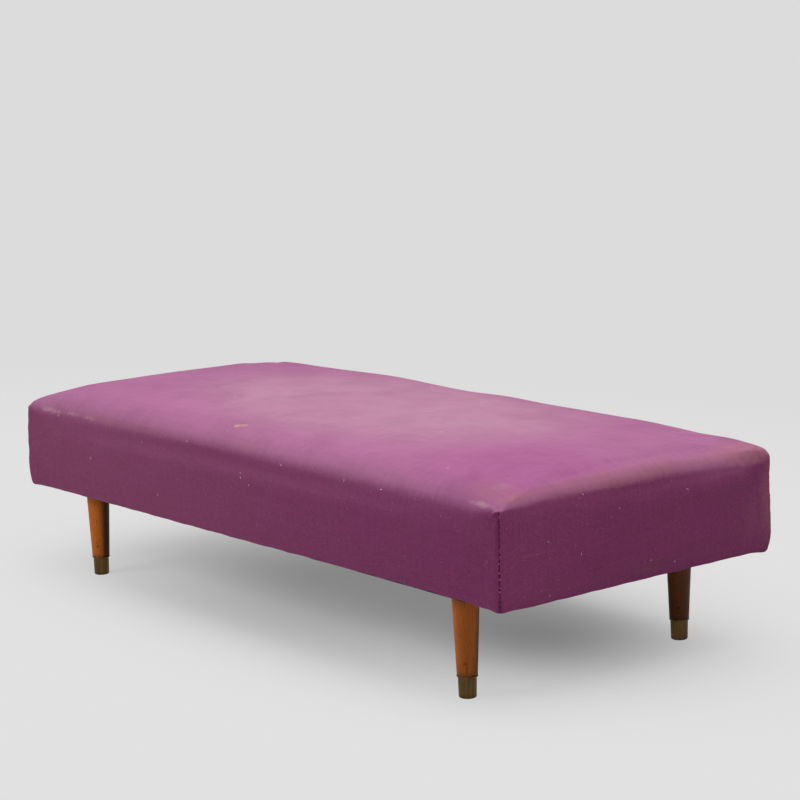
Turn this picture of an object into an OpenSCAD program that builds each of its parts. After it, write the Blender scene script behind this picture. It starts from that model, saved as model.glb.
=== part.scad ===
// Backless divan: a sprung, fully upholstered body on four turned legs with brass ferrules.
// Millimetres. The origin is on the floor under the middle of the body, with X along the
// length, Y from the front side to the back side and Z up.

/* [Body] */
// Length of the upholstered body
body_length = 1750; // [1500:10:2000]
// Width of the upholstered body, front to back
body_width = 745; // [660:5:900]
// Height of the flat side, from its bottom edge to where the shoulder starts
side_height = 190; // [175:5:240]
// Rise of the round shoulder at the top edge
shoulder_rise = 31; // [20:1:40]
// How far the shoulder reaches in from the side
shoulder_reach = 28; // [16:1:36]
// Rise of the middle of the top over its long edges
crown_rise = 20; // [0:1:30]
// Extra rise of the long edges at the middle of their length
edge_swell = 7; // [0:1:12]
// How far a top corner is pulled down
corner_dip = 14; // [0:1:16]
// Reach of the pulled-down corner along the edges
corner_dip_reach = 135; // [60:5:250]

/* [Cloth] */
// Thickness of the wool cover
cloth_thickness = 1.5; // [0.8:0.1:2]
// How far the sides are drawn in at the bottom
tuck = 4; // [0:0.5:5]
// Height over which the sides are drawn in
tuck_height = 45; // [30:1:80]
// Radius of the cover round the bottom edge
bottom_radius = 8; // [5:0.5:10]
// Width of the hem turned under the frame, from the side
hem_width = 27; // [22:1:30]
// How far the cloth hangs lower at the corners
corner_drop = 4; // [0:0.5:5]
// Reach of the lower corners along the edges
corner_drop_reach = 48; // [30:1:60]
// Radius of the vertical corners
corner_radius = 13; // [11:1:25]
// Radius of the corners of the top, seen from above
top_corner_radius = 42; // [30:1:60]

/* [Corner seams] */
// Thickness of the sewing thread
thread_diameter = 1.6; // [0.8:0.1:2]
// Length of one stitch
stitch_length = 9; // [5:0.5:12]
// Distance from one stitch to the next
stitch_pitch = 13; // [10:0.5:20]
// Slant of the stitches, degrees
stitch_slant = 14; // [0:1:30]

/* [Filling] */
// Thickness of the wadding on the top and the sides
wadding_thickness = 7; // [4:0.5:7]
// Height of the wadding's lower edge over the bottom edge
wadding_gap = 12; // [11:1:30]
// Thickness of the hessian
hessian_thickness = 1.2; // [0.8:0.1:2]
// Depth of the hessian below the start of the shoulder
stuffing_depth = 13; // [8:1:20]
// Height of the edge rolls on the rails
roll_height = 42; // [36:1:50]
// Radius of the round long edges of the edge rolls
roll_radius = 10; // [4:1:12]

/* [Springs] */
// Number of springs in one row along the body, an even number
springs_in_row = 8; // [6:2:10]
// Distance of the outer rows of springs from the long rails
row_inset = 107; // [60:1:140]
// Distance of the springs between the leg boards from those boards
bay_inset = 106; // [60:1:120]
// Outer diameter of a spring at its ends, at the middle of the wire
spring_diameter = 80; // [60:1:84]
// Diameter of a spring at its waist, at the middle of the wire
waist_diameter = 52; // [40:1:58]
// Diameter of the spring wire
wire_diameter = 3.6; // [2.5:0.1:4]
// Turns of one spring
spring_turns = 5.5; // [4.5:0.5:6.5]
// Diameter of the lashing cords
lashing_diameter = 3; // [2:0.5:4]
// Length of the lashing cords' ends down the rails
lashing_tail = 28; // [15:1:34]
// Width of the webbing
webbing_width = 50; // [40:1:56]
// Thickness of the webbing
webbing_thickness = 2; // [1:0.5:3]
// Length of webbing that lies under the rails
webbing_tail = 17; // [12:1:19]

/* [Frame] */
// Height of the frame's underside above the floor
leg_length = 221; // [150:1:300]
// Thickness of the rails
rail_thickness = 28; // [24:1:30]
// Width of the boards that carry the legs
board_width = 92; // [80:1:96]
// Thickness of the boards that carry the legs
board_thickness = 28; // [22:1:35]
// Thickness of the centre stretcher
stretcher_thickness = 26; // [20:1:30]
// Height of the centre stretcher
stretcher_height = 70; // [50:5:90]
// Height of the centre stretcher's underside over that of the frame
stretcher_lift = 10; // [6:1:20]
// Length of a corner block along each rail
block_size = 58; // [45:1:60]
// Distance of a corner block from the rail's lower edge and from the cords on the rail
block_gap = 11; // [8:1:20]

/* [Legs] */
// Distance of the leg centres from the ends of the body
leg_end_inset = 189; // [186:1:210]
// Distance of the leg centres from the long sides
leg_side_inset = 77.5; // [72:0.5:90]
// Diameter of a leg at its top
leg_top_diameter = 56.4; // [48:0.2:60]
// Diameter of a leg just above its ferrule
leg_foot_diameter = 41.4; // [39:0.2:44]
// Height of a ferrule
ferrule_height = 46; // [30:1:60]
// Diameter of a ferrule below its bead
ferrule_diameter = 37.4; // [36:0.2:39]
// Diameter of a ferrule just above its round lower edge
ferrule_foot_diameter = 35.6; // [34:0.2:37]
// Thickness of the brass
ferrule_wall = 1.2; // [0.8:0.1:1.6]
// Height of the rolled bead
bead_height = 4.4; // [3:0.2:6]
// How far the bead stands out from the ferrule
bead_rise = 2.6; // [1:0.1:3]
// Radius of the ferrule's lower edge
foot_radius = 3; // [1:0.5:5]

/* [Fastenings] */
// Diameter of the leg bolts
bolt_diameter = 10; // [8:1:12]
// Length of a leg bolt inside the leg
bolt_depth = 60; // [40:1:80]
// Outer diameter of a tee nut's barrel
nut_barrel_diameter = 14; // [13.5:0.5:16]
// Diameter of a tee nut's flange
nut_flange_diameter = 30; // [26:1:36]
// Thickness of a tee nut's flange
nut_flange_thickness = 1.6; // [1:0.1:2.5]
// Length of a tee nut's barrel
nut_barrel_length = 14; // [10:1:18]
// Diameter of the wood screws
screw_diameter = 5; // [4:0.5:6]
// Diameter of the screw heads
screw_head_diameter = 9.6; // [8:0.2:11]
// Length of the long screws
screw_length = 70; // [55:1:80]
// Length of the screws in the corner blocks
block_screw_length = 45; // [35:1:50]
// Wood of a corner block under a screw's head
block_screw_seat = 25; // [20:1:28]
// Diameter of a tack's head
tack_head_diameter = 7; // [5:0.5:8]
// Thickness of a tack's head
tack_head_thickness = 0.6; // [0.4:0.1:0.8]
// Diameter of a tack's shank
tack_diameter = 1.6; // [1.2:0.1:2]
// Length of a tack's shank
tack_length = 13; // [11:1:16]
// Thickness of the dust cover
dust_thickness = 0.8; // [0.5:0.1:1.2]
// Distance of the dust cover's edge from the side
dust_inset = 13; // [11:1:14]
// Number of hem tacks along each long rail
long_tacks = 20; // [10:1:24]
// Number of hem tacks along each end rail
end_tacks = 8; // [4:1:10]

/* [Hidden] */
$fn = 48;

purple = "#7a3f63";
oak = "#a8652c";
beech = "#c9a878";
thread_purple = "#4a1f3b";
brass = "#8a6a33";
steel = "#8d8f92";
jute = "#b89a68";
cotton = "#e6e0d2";
black_cloth = "#2b2a2c";

// Clearance between pieces that lie against each other
soft_gap = 0.3;
fit_gap = 0.2;
// One overrun for every cut
overrun = 1;

// Heights
frame_bottom = leg_length;
hem_top = frame_bottom - webbing_thickness - soft_gap;
underside = hem_top - cloth_thickness;
shoulder_z = underside + side_height;
dust_top = underside - tack_head_thickness - 2 * fit_gap;
stuffing_bottom = shoulder_z - stuffing_depth;
hessian_top = stuffing_bottom - soft_gap;
roll_top = hessian_top - hessian_thickness;
rail_top = roll_top - roll_height;
rail_height = rail_top - frame_bottom;
lashing_radius = lashing_diameter / 2;
cross_lashing_z = roll_top - fit_gap - lashing_radius;
long_lashing_z = cross_lashing_z - lashing_diameter - fit_gap;
spring_top = long_lashing_z - lashing_radius - fit_gap;
webbing_top = frame_bottom + webbing_thickness;
spring_base = webbing_top + fit_gap;

// Depths below the cover's outer face
wadding_depth = cloth_thickness + soft_gap;
wadding_back = wadding_depth + wadding_thickness;
frame_inset = wadding_back + soft_gap;
frame_x = body_length / 2 - frame_inset;
frame_y = body_width / 2 - frame_inset;
inner_x = frame_x - rail_thickness;
inner_y = frame_y - rail_thickness;
leg_x = body_length / 2 - leg_end_inset;
leg_y = body_width / 2 - leg_side_inset;
board_inner_x = leg_x - board_width / 2;
board_outer_x = leg_x + board_width / 2;

// Springs: the last one of each row stands midway between the leg board and the end rail,
// and the others are spread evenly between the leg boards
end_spring_x = (board_outer_x + inner_x) / 2;
inner_springs = springs_in_row - 2;
spring_pitch = 2 * (board_inner_x - bay_inset) / (inner_springs - 1);
spring_places = [
    -end_spring_x,
    for (k = [0 : inner_springs - 1]) (k - (inner_springs - 1) / 2) * spring_pitch,
    end_spring_x
];
row_pitch = inner_y - row_inset;
row_places = [-row_pitch, 0, row_pitch];
wire_radius = wire_diameter / 2;
spring_steps = 7;
end_flatness_share = 0.8;

// Tacks
hem_tack_inset = (hem_width + frame_inset) / 2;
dust_tack_inset = (hem_width + frame_inset + rail_thickness) / 2;
hem_tack_x = body_length / 2 - hem_tack_inset;
hem_tack_y = body_width / 2 - hem_tack_inset;
dust_tack_x = body_length / 2 - dust_tack_inset;
dust_tack_y = body_width / 2 - dust_tack_inset;
hem_tack_z = underside - fit_gap;
dust_tack_z = dust_top - dust_thickness - fit_gap;
webbing_tack_z = frame_bottom - webbing_thickness;
web_tack_x = inner_x + tack_head_diameter / 2 + soft_gap;
web_tack_y = inner_y + tack_head_diameter / 2 + soft_gap;
web_tack_share = 0.3;

// The upholstered form. Its surface is a stack of rounded rectangles and, on the top, a grid.
// Each corner arc takes arc_cells cells of the grid on either side of the corner.
cells_x = 14;
cells_y = 10;
arc_cells = 2;
arc_step = 45 / arc_cells;
ring_size = 2 * (cells_x + cells_y);
ring = [
    for (i = [0 : cells_x - 1]) [i, 0],
    for (j = [0 : cells_y - 1]) [cells_x, j],
    for (i = [0 : cells_x - 1]) [cells_x - i, cells_y],
    for (j = [0 : cells_y - 1]) [0, cells_y - j]
];
shoulder_angles = [22.5, 45, 67.5, 90];

function smooth(t) = t <= 0 ? 0 : t >= 1 ? 1 : t * t * (3 - 2 * t);

// Share of a corner's effect that is left at a place on the body, 1 in the corner itself
function corner_share(x, y, reach) =
    1 - smooth(norm([body_length / 2 - abs(x), body_width / 2 - abs(y)]) / reach);

// Height that swell, crown and corner dips add at a place on the top
function top_lift(x, y) =
    edge_swell * (1 - pow(abs(2 * x / body_length), 2))
    - corner_dip * corner_share(x, y, corner_dip_reach);
function crown_lift(x, y) =
    crown_rise * (1 - pow(abs(2 * x / body_length), 6)) * (1 - pow(abs(2 * y / body_width), 2));

// Distance of a grid line from the middle: an arc near the corner, then shares of the straight
function line_place(fold, other, cells, half, radius) =
    fold <= arc_cells
        ? half - radius + radius * cos(fold == 0 ? 45 - arc_step * min(other, arc_cells)
                                                 : 45 + arc_step * fold)
        : (half - radius) * cos(90 * (fold - arc_cells) / (cells / 2 - arc_cells));
function plan_place(i, j, half_x, half_y, radius) =
    let (fold_i = min(i, cells_x - i), fold_j = min(j, cells_y - j))
    [
        sign(i - cells_x / 2) * line_place(fold_i, fold_j, cells_x, half_x, radius),
        sign(j - cells_y / 2) * line_place(fold_j, fold_i, cells_y, half_y, radius)
    ];

// A level of the form: inset, height, angle of its outward normal, corner radius.
// The shoulder's levels take up the lift of the top, the lowest ones the drop of the corners.
function side_inset(z) =
    tuck * max(0, min(1, (underside + tuck_height - z) / (tuck_height - bottom_radius)));
function side_level(z) = [side_inset(z), z, 0, corner_radius];
function round_level(angle) = [
    tuck + bottom_radius * (1 - cos(angle)),
    underside + bottom_radius * (1 - sin(angle)),
    -angle,
    corner_radius
];
function shoulder_level(angle) = [
    shoulder_reach * (1 - cos(angle)),
    shoulder_z + shoulder_rise * sin(angle),
    angle,
    corner_radius + (top_corner_radius - corner_radius) * pow(sin(angle), 2)
];
function level_point(level, depth, i, j) =
    let (
        inset = level[0] + depth * cos(level[2]),
        radius = level[3] - depth * cos(level[2]),
        p = plan_place(i, j, body_length / 2 - inset, body_width / 2 - inset, radius),
        lift = level[2] > 0 ? sin(level[2]) * top_lift(p[0], p[1]) : 0,
        drop = level[2] < 0 ? corner_drop * corner_share(p[0], p[1], corner_drop_reach) : 0
    )
    [p[0], p[1], level[1] - depth * sin(level[2]) + lift - drop];

// Points of one skin: its rings from the bottom up, then the inside of the top's grid
function skin_points(levels, depth) =
    let (top = levels[len(levels) - 1])
    [
        for (level = levels, p = ring) level_point(level, depth, p[0], p[1]),
        for (j = [1 : cells_y - 1], i = [1 : cells_x - 1])
            let (p = level_point(top, depth, i, j))
            [p[0], p[1], p[2] + crown_lift(p[0], p[1])]
    ];
function skin_size(count) = count * ring_size + (cells_x - 1) * (cells_y - 1);

function ring_index(i, j) =
    j == 0 ? i
    : i == cells_x ? cells_x + j
    : j == cells_y ? 2 * cells_x + cells_y - i
    : 2 * (cells_x + cells_y) - j;
function grid_index(i, j, count) =
    i == 0 || j == 0 || i == cells_x || j == cells_y
        ? (count - 1) * ring_size + ring_index(i, j)
        : count * ring_size + (j - 1) * (cells_x - 1) + i - 1;
function quad(a, b, c, d, flip) =
    flip ? [[a, b, c], [a, c, d]] : [[a, c, b], [a, d, c]];

// Faces of one skin with count rings, whose points start at first
function skin_faces(count, first, flip) = [
    for (k = [0 : count - 2], m = [0 : ring_size - 1])
        let (n = (m + 1) % ring_size, low = first + k * ring_size, high = low + ring_size)
        each quad(low + m, low + n, high + n, high + m, flip),
    for (j = [0 : cells_y - 1], i = [0 : cells_x - 1])
        each quad(
            first + grid_index(i, j, count), first + grid_index(i + 1, j, count),
            first + grid_index(i + 1, j + 1, count), first + grid_index(i, j + 1, count), flip
        )
];

// A shell between two skins, open below
module skin_shell(outer_levels, outer_depth, inner_levels, inner_depth) {
    count = len(outer_levels);
    second = skin_size(count);
    rim = [
        for (m = [0 : ring_size - 1])
            let (n = (m + 1) % ring_size)
            each quad(second + m, second + n, n, m, false)
    ];
    polyhedron(
        concat(skin_points(outer_levels, outer_depth), skin_points(inner_levels, inner_depth)),
        concat(skin_faces(count, 0, false), skin_faces(count, second, true), rim)
    );
}

// A solid under one skin, with a flat bottom
module skin_solid(levels, depth) {
    bottom = [for (m = [1 : ring_size - 2]) [0, m, m + 1]];
    polyhedron(skin_points(levels, depth), concat(skin_faces(len(levels), 0, false), bottom));
}

cover_levels = [
    [hem_width, underside, -90, corner_radius],
    round_level(90),
    round_level(45),
    round_level(0),
    side_level(underside + tuck_height),
    side_level(shoulder_z),
    for (angle = shoulder_angles) shoulder_level(angle)
];
wadding_bottom = underside + wadding_gap;
wadding_levels = [
    side_level(wadding_bottom),
    side_level(underside + tuck_height),
    side_level(shoulder_z),
    for (angle = shoulder_angles) shoulder_level(angle)
];
wadding_inner_levels = [
    [0, wadding_bottom, 0, corner_radius],
    [0, underside + tuck_height, 0, corner_radius],
    side_level(shoulder_z),
    for (angle = shoulder_angles) shoulder_level(angle)
];
stuffing_levels = [
    [0, stuffing_bottom, 0, corner_radius],
    side_level(shoulder_z),
    for (angle = shoulder_angles) shoulder_level(angle)
];

module cover() {
    color(purple)
    difference() {
        skin_shell(cover_levels, 0, cover_levels, cloth_thickness);
        hem_tack_places() tack_hole();
    }
}

module wadding() {
    color(cotton)
    skin_shell(wadding_levels, wadding_depth, wadding_inner_levels, wadding_back);
}

module stuffing() {
    color(jute) skin_solid(stuffing_levels, frame_inset);
}

// Slanting stitches that close the cover at one corner
seam_start = underside + bottom_radius + stitch_length / 2;
seam_end = shoulder_z;
stitch_count = floor((seam_end - seam_start) / stitch_pitch);
thread_radius = thread_diameter / 2;

module stitches(side_x, side_y) {
    corner_x = body_length / 2 - corner_radius;
    corner_y = body_width / 2 - corner_radius;
    stand_off = corner_radius + soft_gap + thread_radius;
    color(thread_purple)
    scale([side_x, side_y, 1])
    for (k = [0 : stitch_count - 1]) {
        z = seam_start + (k + 1 / 2) * stitch_pitch;
        inset = side_inset(z + stitch_length / 2);
        translate([corner_x - inset, corner_y - inset, z])
        rotate([0, 0, 45])
        translate([stand_off, 0, 0])
        rotate([stitch_slant, 0, 0])
        cylinder(h = stitch_length, d = thread_diameter, center = true, $fn = 16);
    }
}

module hessian() {
    color(jute)
    translate([-frame_x, -frame_y, roll_top])
    cube([2 * frame_x, 2 * frame_y, hessian_thickness]);
}

// Edge roll lying along X, between the rail and the hessian
module edge_roll(length) {
    depth = rail_thickness - 2 * roll_radius;
    height = roll_height - 2 * roll_radius;
    color(jute)
    translate([-length / 2, 0, rail_top])
    rotate([90, 0, 90])
    linear_extrude(length)
    union() {
        translate([roll_radius, 0]) square([depth, roll_height]);
        translate([0, roll_radius]) square([rail_thickness, height]);
        for (x = [roll_radius, roll_radius + depth], y = [roll_radius, roll_radius + height])
            translate([x, y]) circle(roll_radius);
    }
}
module edge_roll_front() {
    translate([0, -frame_y, 0]) edge_roll(2 * frame_x);
}
module edge_roll_back() {
    translate([0, inner_y, 0]) edge_roll(2 * frame_x);
}
module edge_roll_left() {
    translate([-inner_x, 0, 0]) rotate([0, 0, 90]) edge_roll(2 * inner_y);
}
module edge_roll_right() {
    translate([frame_x, 0, 0]) rotate([0, 0, 90]) edge_roll(2 * inner_y);
}

// One hourglass spring on its base: the wire is a square section swept along the coil
function coil_point(t) =
    let (
        radius = waist_diameter / 2
            + (spring_diameter - waist_diameter) / 2 * pow(abs(2 * t - 1), 1.6),
        rise = t - end_flatness_share * sin(360 * t) / (2 * PI),
        angle = 360 * spring_turns * t
    )
    [radius, angle, wire_radius + rise * (spring_top - spring_base - wire_diameter)];
spring_rings = round(spring_turns * spring_steps) + 1;
spring_points = [
    for (k = [0 : spring_rings - 1], corner = [[1, 0], [0, 1], [-1, 0], [0, -1]])
        let (c = coil_point(k / (spring_rings - 1)), r = c[0] + wire_radius * corner[0])
        [r * cos(c[1]), r * sin(c[1]), c[2] + wire_radius * corner[1]]
];
spring_last = 4 * (spring_rings - 1);
spring_faces = concat(
    quad(0, 1, 2, 3, true),
    quad(spring_last, spring_last + 1, spring_last + 2, spring_last + 3, false),
    [
        for (k = [0 : spring_rings - 2], m = [0 : 3])
            let (n = (m + 1) % 4, near = 4 * k, far = near + 4)
            each quad(near + m, near + n, far + n, far + m, false)
    ]
);
module spring_row(y) {
    color(steel)
    for (x = spring_places)
        translate([x, y, spring_base]) polyhedron(spring_points, spring_faces);
}

// Lashing cord along X with both ends turned down the rails
module lashing(reach, z) {
    x = reach - soft_gap - lashing_radius;
    drop = z - rail_top + lashing_tail;
    union() {
        translate([-x, 0, z]) rotate([0, 90, 0]) cylinder(h = 2 * x, d = lashing_diameter);
        for (side = [-x, x]) {
            translate([side, 0, z - drop]) cylinder(h = drop, d = lashing_diameter);
            translate([side, 0, z]) sphere(d = lashing_diameter);
        }
    }
}
module lashing_long() {
    color(jute)
    for (y = row_places) translate([0, y, 0]) lashing(inner_x, long_lashing_z);
}
module lashing_cross() {
    color(jute)
    for (x = spring_places)
        translate([x, 0, 0]) rotate([0, 0, 90]) lashing(inner_y, cross_lashing_z);
}

// Side outline of a long web: it runs under the rails and boards and over the cross webs
web_bays = [
    [-inner_x, -board_outer_x],
    [-board_inner_x, board_inner_x],
    [board_outer_x, inner_x]
];
web_ramp = 3 * webbing_thickness;
web_line = [
    [-inner_x - webbing_tail, 0],
    for (bay = web_bays)
        each [
            [bay[0], 0],
            [bay[0] + web_ramp, webbing_thickness],
            [bay[1] - web_ramp, webbing_thickness],
            [bay[1], 0]
        ],
    [inner_x + webbing_tail, 0]
];
web_last = len(web_line) - 1;
web_outline = [
    for (p = web_line) [p[0], p[1] - webbing_thickness],
    for (k = [0 : web_last]) web_line[web_last - k]
];

module webbing_long() {
    color(jute)
    difference() {
        for (y = row_places)
            translate([0, y + webbing_width / 2, frame_bottom])
            rotate([90, 0, 0])
            linear_extrude(webbing_width) polygon(web_outline);
        long_web_tacks() tack_hole();
    }
}
module webbing_cross() {
    half = inner_y + webbing_tail;
    color(jute)
    difference() {
        for (x = spring_places)
            translate([x - webbing_width / 2, -half, frame_bottom - webbing_thickness])
            cube([webbing_width, 2 * half, webbing_thickness]);
        cross_web_tacks() tack_hole();
    }
}

// Places of the tacks: two at each end of a web, one row along the hem, one along the dust cover
module long_web_tacks() {
    for (side = [-1, 1], y = row_places, share = [-web_tack_share, web_tack_share])
        translate([side * web_tack_x, y + share * webbing_width, webbing_tack_z]) children();
}
module cross_web_tacks() {
    for (side = [-1, 1], x = spring_places, share = [-web_tack_share, web_tack_share])
        translate([x + share * webbing_width, side * web_tack_y, webbing_tack_z]) children();
}
function spread(k, count, reach) = (2 * (k + 1 / 2) / count - 1) * reach;
module hem_tack_places() {
    for (side = [-1, 1], k = [0 : long_tacks - 1])
        translate([spread(k, long_tacks, inner_x), side * hem_tack_y, hem_tack_z]) children();
    for (side = [-1, 1], k = [0 : end_tacks - 1])
        translate([side * hem_tack_x, spread(k, end_tacks, inner_y), hem_tack_z]) children();
}
dust_tack_row = [for (k = [0 : springs_in_row - 2]) (spring_places[k] + spring_places[k + 1]) / 2];
module dust_tack_places() {
    for (side = [-1, 1], x = dust_tack_row)
        translate([x, side * dust_tack_y, dust_tack_z]) children();
    for (side = [-1, 1], y = [-row_pitch / 2, row_pitch / 2])
        translate([side * dust_tack_x, y, dust_tack_z]) children();
}
module tack() {
    translate([0, 0, -tack_head_thickness]) cylinder(h = tack_head_thickness, d = tack_head_diameter);
    cylinder(h = tack_length, d = tack_diameter);
}
module tack_hole() {
    cylinder(h = tack_length + fit_gap, d = tack_diameter + 2 * fit_gap);
}

module webbing_tacks() {
    color(steel)
    translate([0, 0, -fit_gap]) {
        long_web_tacks() tack();
        cross_web_tacks() tack();
    }
}
module cover_tacks() {
    color(steel) hem_tack_places() tack();
}
module dust_cover_tacks() {
    color(steel) dust_tack_places() tack();
}
module all_tack_holes() {
    long_web_tacks() tack_hole();
    cross_web_tacks() tack_hole();
    hem_tack_places() tack_hole();
    dust_tack_places() tack_hole();
}

// Countersunk screw whose head is at the origin and whose shank runs along +Z
module screw(length, gap) {
    head_depth = (screw_head_diameter - screw_diameter) / 2;
    head_radius = screw_head_diameter / 2 + gap;
    translate([0, 0, -gap])
    cylinder(h = head_depth + gap, r1 = head_radius, r2 = screw_diameter / 2 + gap);
    cylinder(h = length + gap, r = screw_diameter / 2 + gap);
}
// Hole for such a screw, open behind its head over a given depth
module screw_hole(length, access) {
    screw(length, fit_gap);
    translate([0, 0, -access])
    cylinder(h = access, r = screw_head_diameter / 2 + fit_gap);
}

// Places of the screws, each with its head on the outside of a long rail or on a corner block
rail_screw_shares = [0.15, 0.85];
rail_screw_x = frame_x - rail_thickness / 2;
board_screw_z = frame_bottom + board_thickness / 2;
board_screw_offset = board_width / 4;
stretcher_bottom = frame_bottom + stretcher_lift;
stretcher_screw_shares = [0.25, 0.75];
screw_recess = fit_gap;
module from_long_rails(x, z) {
    for (side = [-1, 1])
        scale([1, side, 1])
        translate([x, frame_y - screw_recess, z])
        rotate([90, 0, 0])
        children();
}
module rail_screw_places() {
    for (x = [-rail_screw_x, rail_screw_x], share = rail_screw_shares)
        from_long_rails(x, frame_bottom + share * rail_height) children();
}
module board_screw_places() {
    for (x = [-leg_x, leg_x], offset = [-board_screw_offset, board_screw_offset])
        from_long_rails(x + offset, board_screw_z) children();
}
module stretcher_screw_places() {
    for (share = stretcher_screw_shares)
        from_long_rails(0, stretcher_bottom + share * stretcher_height) children();
}

// Corner block in the corner at +X +Y: a triangle with its far points cut off. Each of its
// screws lies in a counterbore from the slanting face and runs square into one rail.
block_bottom = frame_bottom + block_gap;
block_height = rail_height - lashing_tail - 2 * block_gap;
block_cut = block_size / 4;
block_middle = (block_size + block_cut) / 2;
block_screw_shares = [0.25, 0.75];
module block_screw_places() {
    low = block_bottom + block_screw_shares[0] * block_height;
    high = block_bottom + block_screw_shares[1] * block_height;
    translate([inner_x - block_screw_seat, inner_y - block_middle, low])
    rotate([0, 90, 0])
    children();
    translate([inner_x - block_middle, inner_y - block_screw_seat, high])
    rotate([-90, 0, 0])
    children();
}
module corner_block(side_x, side_y) {
    color(beech)
    scale([side_x, side_y, 1])
    difference() {
        translate([inner_x, inner_y, block_bottom])
        linear_extrude(block_height)
        polygon([
            [0, 0],
            [-block_size, 0],
            [-block_size, -block_cut],
            [-block_cut, -block_size],
            [0, -block_size]
        ]);
        block_screw_places() screw_hole(block_screw_length, block_size);
    }
}
module four_corners() {
    for (side_x = [-1, 1], side_y = [-1, 1]) scale([side_x, side_y, 1]) children();
}

module screw_holes() {
    rail_screw_places() screw_hole(screw_length, overrun);
    board_screw_places() screw_hole(screw_length, overrun);
    stretcher_screw_places() screw_hole(screw_length, overrun);
    four_corners() block_screw_places() screw_hole(block_screw_length, overrun);
}

module long_rail(side) {
    color(beech)
    difference() {
        translate([-frame_x, side > 0 ? inner_y : -frame_y, frame_bottom])
        cube([2 * frame_x, rail_thickness, rail_height]);
        screw_holes();
        all_tack_holes();
    }
}
module end_rail(side) {
    color(beech)
    difference() {
        translate([side > 0 ? inner_x : -frame_x, -inner_y, frame_bottom])
        cube([rail_thickness, 2 * inner_y, rail_height]);
        screw_holes();
        all_tack_holes();
    }
}
module centre_stretcher() {
    color(beech)
    difference() {
        translate([-stretcher_thickness / 2, -inner_y, stretcher_bottom])
        cube([stretcher_thickness, 2 * inner_y, stretcher_height]);
        stretcher_screw_places() screw_hole(screw_length, overrun);
    }
}

// Leg, bolt, tee nut and ferrule: each is drawn on its own axis and set at a leg's place
bolt_radius = bolt_diameter / 2;
bolt_top = frame_bottom + board_thickness + nut_flange_thickness;
module at_leg(side_x, side_y) {
    translate([side_x * leg_x, side_y * leg_y, 0]) children();
}
module leg_board(side) {
    color(beech)
    difference() {
        translate([side * leg_x - board_width / 2, -inner_y, frame_bottom])
        cube([board_width, 2 * inner_y, board_thickness]);
        board_screw_places() screw_hole(screw_length, overrun);
        for (side_y = [-1, 1])
            at_leg(side, side_y)
            translate([0, 0, frame_bottom]) {
                translate([0, 0, -overrun])
                cylinder(h = board_thickness + 2 * overrun, r = bolt_radius + fit_gap);
                translate([0, 0, board_thickness - nut_barrel_length - fit_gap])
                cylinder(
                    h = nut_barrel_length + fit_gap + overrun,
                    d = nut_barrel_diameter + 2 * fit_gap
                );
            }
    }
}
module tee_nut() {
    color(steel)
    translate([0, 0, frame_bottom + board_thickness])
    difference() {
        union() {
            translate([0, 0, -nut_barrel_length])
            cylinder(h = nut_barrel_length + nut_flange_thickness, d = nut_barrel_diameter);
            cylinder(h = nut_flange_thickness, d = nut_flange_diameter);
        }
        translate([0, 0, -nut_barrel_length - overrun])
        cylinder(
            h = nut_barrel_length + nut_flange_thickness + 2 * overrun,
            r = bolt_radius + fit_gap
        );
    }
}
module leg_bolt() {
    color(steel)
    translate([0, 0, frame_bottom - bolt_depth])
    cylinder(h = bolt_top - frame_bottom + bolt_depth, r = bolt_radius);
}

// The leg's foot is turned down to fit inside the ferrule, and its shoulder lies on the bead
ferrule_radius = ferrule_diameter / 2;
ferrule_foot = ferrule_foot_diameter / 2;
spigot_gap = ferrule_wall + fit_gap;
module leg() {
    color(oak)
    difference() {
        rotate_extrude()
        polygon([
            [0, spigot_gap],
            [ferrule_foot - spigot_gap - foot_radius, spigot_gap],
            [ferrule_foot - spigot_gap, spigot_gap + foot_radius],
            [ferrule_radius - spigot_gap, ferrule_height + fit_gap],
            [leg_foot_diameter / 2, ferrule_height + fit_gap],
            [leg_top_diameter / 2, frame_bottom],
            [0, frame_bottom]
        ]);
        translate([0, 0, frame_bottom - bolt_depth - fit_gap])
        cylinder(h = bolt_depth + fit_gap + overrun, r = bolt_radius + fit_gap);
    }
}

// Turned outline of a ferrule: round lower edge, slightly tapered cup, rolled bead on top
arc_angles = [0, 22.5, 45, 67.5, 90];
bead_angles = [-90, -60, -30, 0, 30, 60, 90];
cup_top = ferrule_height - bead_height;
module ferrule() {
    outline = [
        [0, 0],
        for (angle = arc_angles)
            [
                ferrule_foot - foot_radius * (1 - sin(angle)),
                foot_radius * (1 - cos(angle))
            ],
        for (angle = bead_angles)
            [
                ferrule_radius + bead_rise * cos(angle),
                cup_top + bead_height / 2 * (1 + sin(angle))
            ],
        [ferrule_radius - ferrule_wall, ferrule_height],
        [ferrule_foot - ferrule_wall, ferrule_wall + foot_radius],
        [ferrule_foot - ferrule_wall - foot_radius, ferrule_wall],
        [0, ferrule_wall]
    ];
    color(brass) rotate_extrude() polygon(outline);
}

// Dust cover with round corners, cut round the legs
dust_corner = corner_drop_reach;
module dust_cover() {
    half_x = body_length / 2 - dust_inset;
    half_y = body_width / 2 - dust_inset;
    color(black_cloth)
    difference() {
        translate([0, 0, dust_top - dust_thickness])
        linear_extrude(dust_thickness)
        union() {
            square([2 * half_x, 2 * (half_y - dust_corner)], center = true);
            square([2 * (half_x - dust_corner), 2 * half_y], center = true);
            for (side_x = [-1, 1], side_y = [-1, 1])
                translate([side_x * (half_x - dust_corner), side_y * (half_y - dust_corner)])
                circle(dust_corner);
        }
        dust_tack_places() tack_hole();
        for (side_x = [-1, 1], side_y = [-1, 1])
            at_leg(side_x, side_y)
            translate([0, 0, dust_top - dust_thickness - overrun])
            cylinder(h = dust_thickness + 2 * overrun, r = leg_top_diameter / 2 + soft_gap);
    }
}

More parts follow.
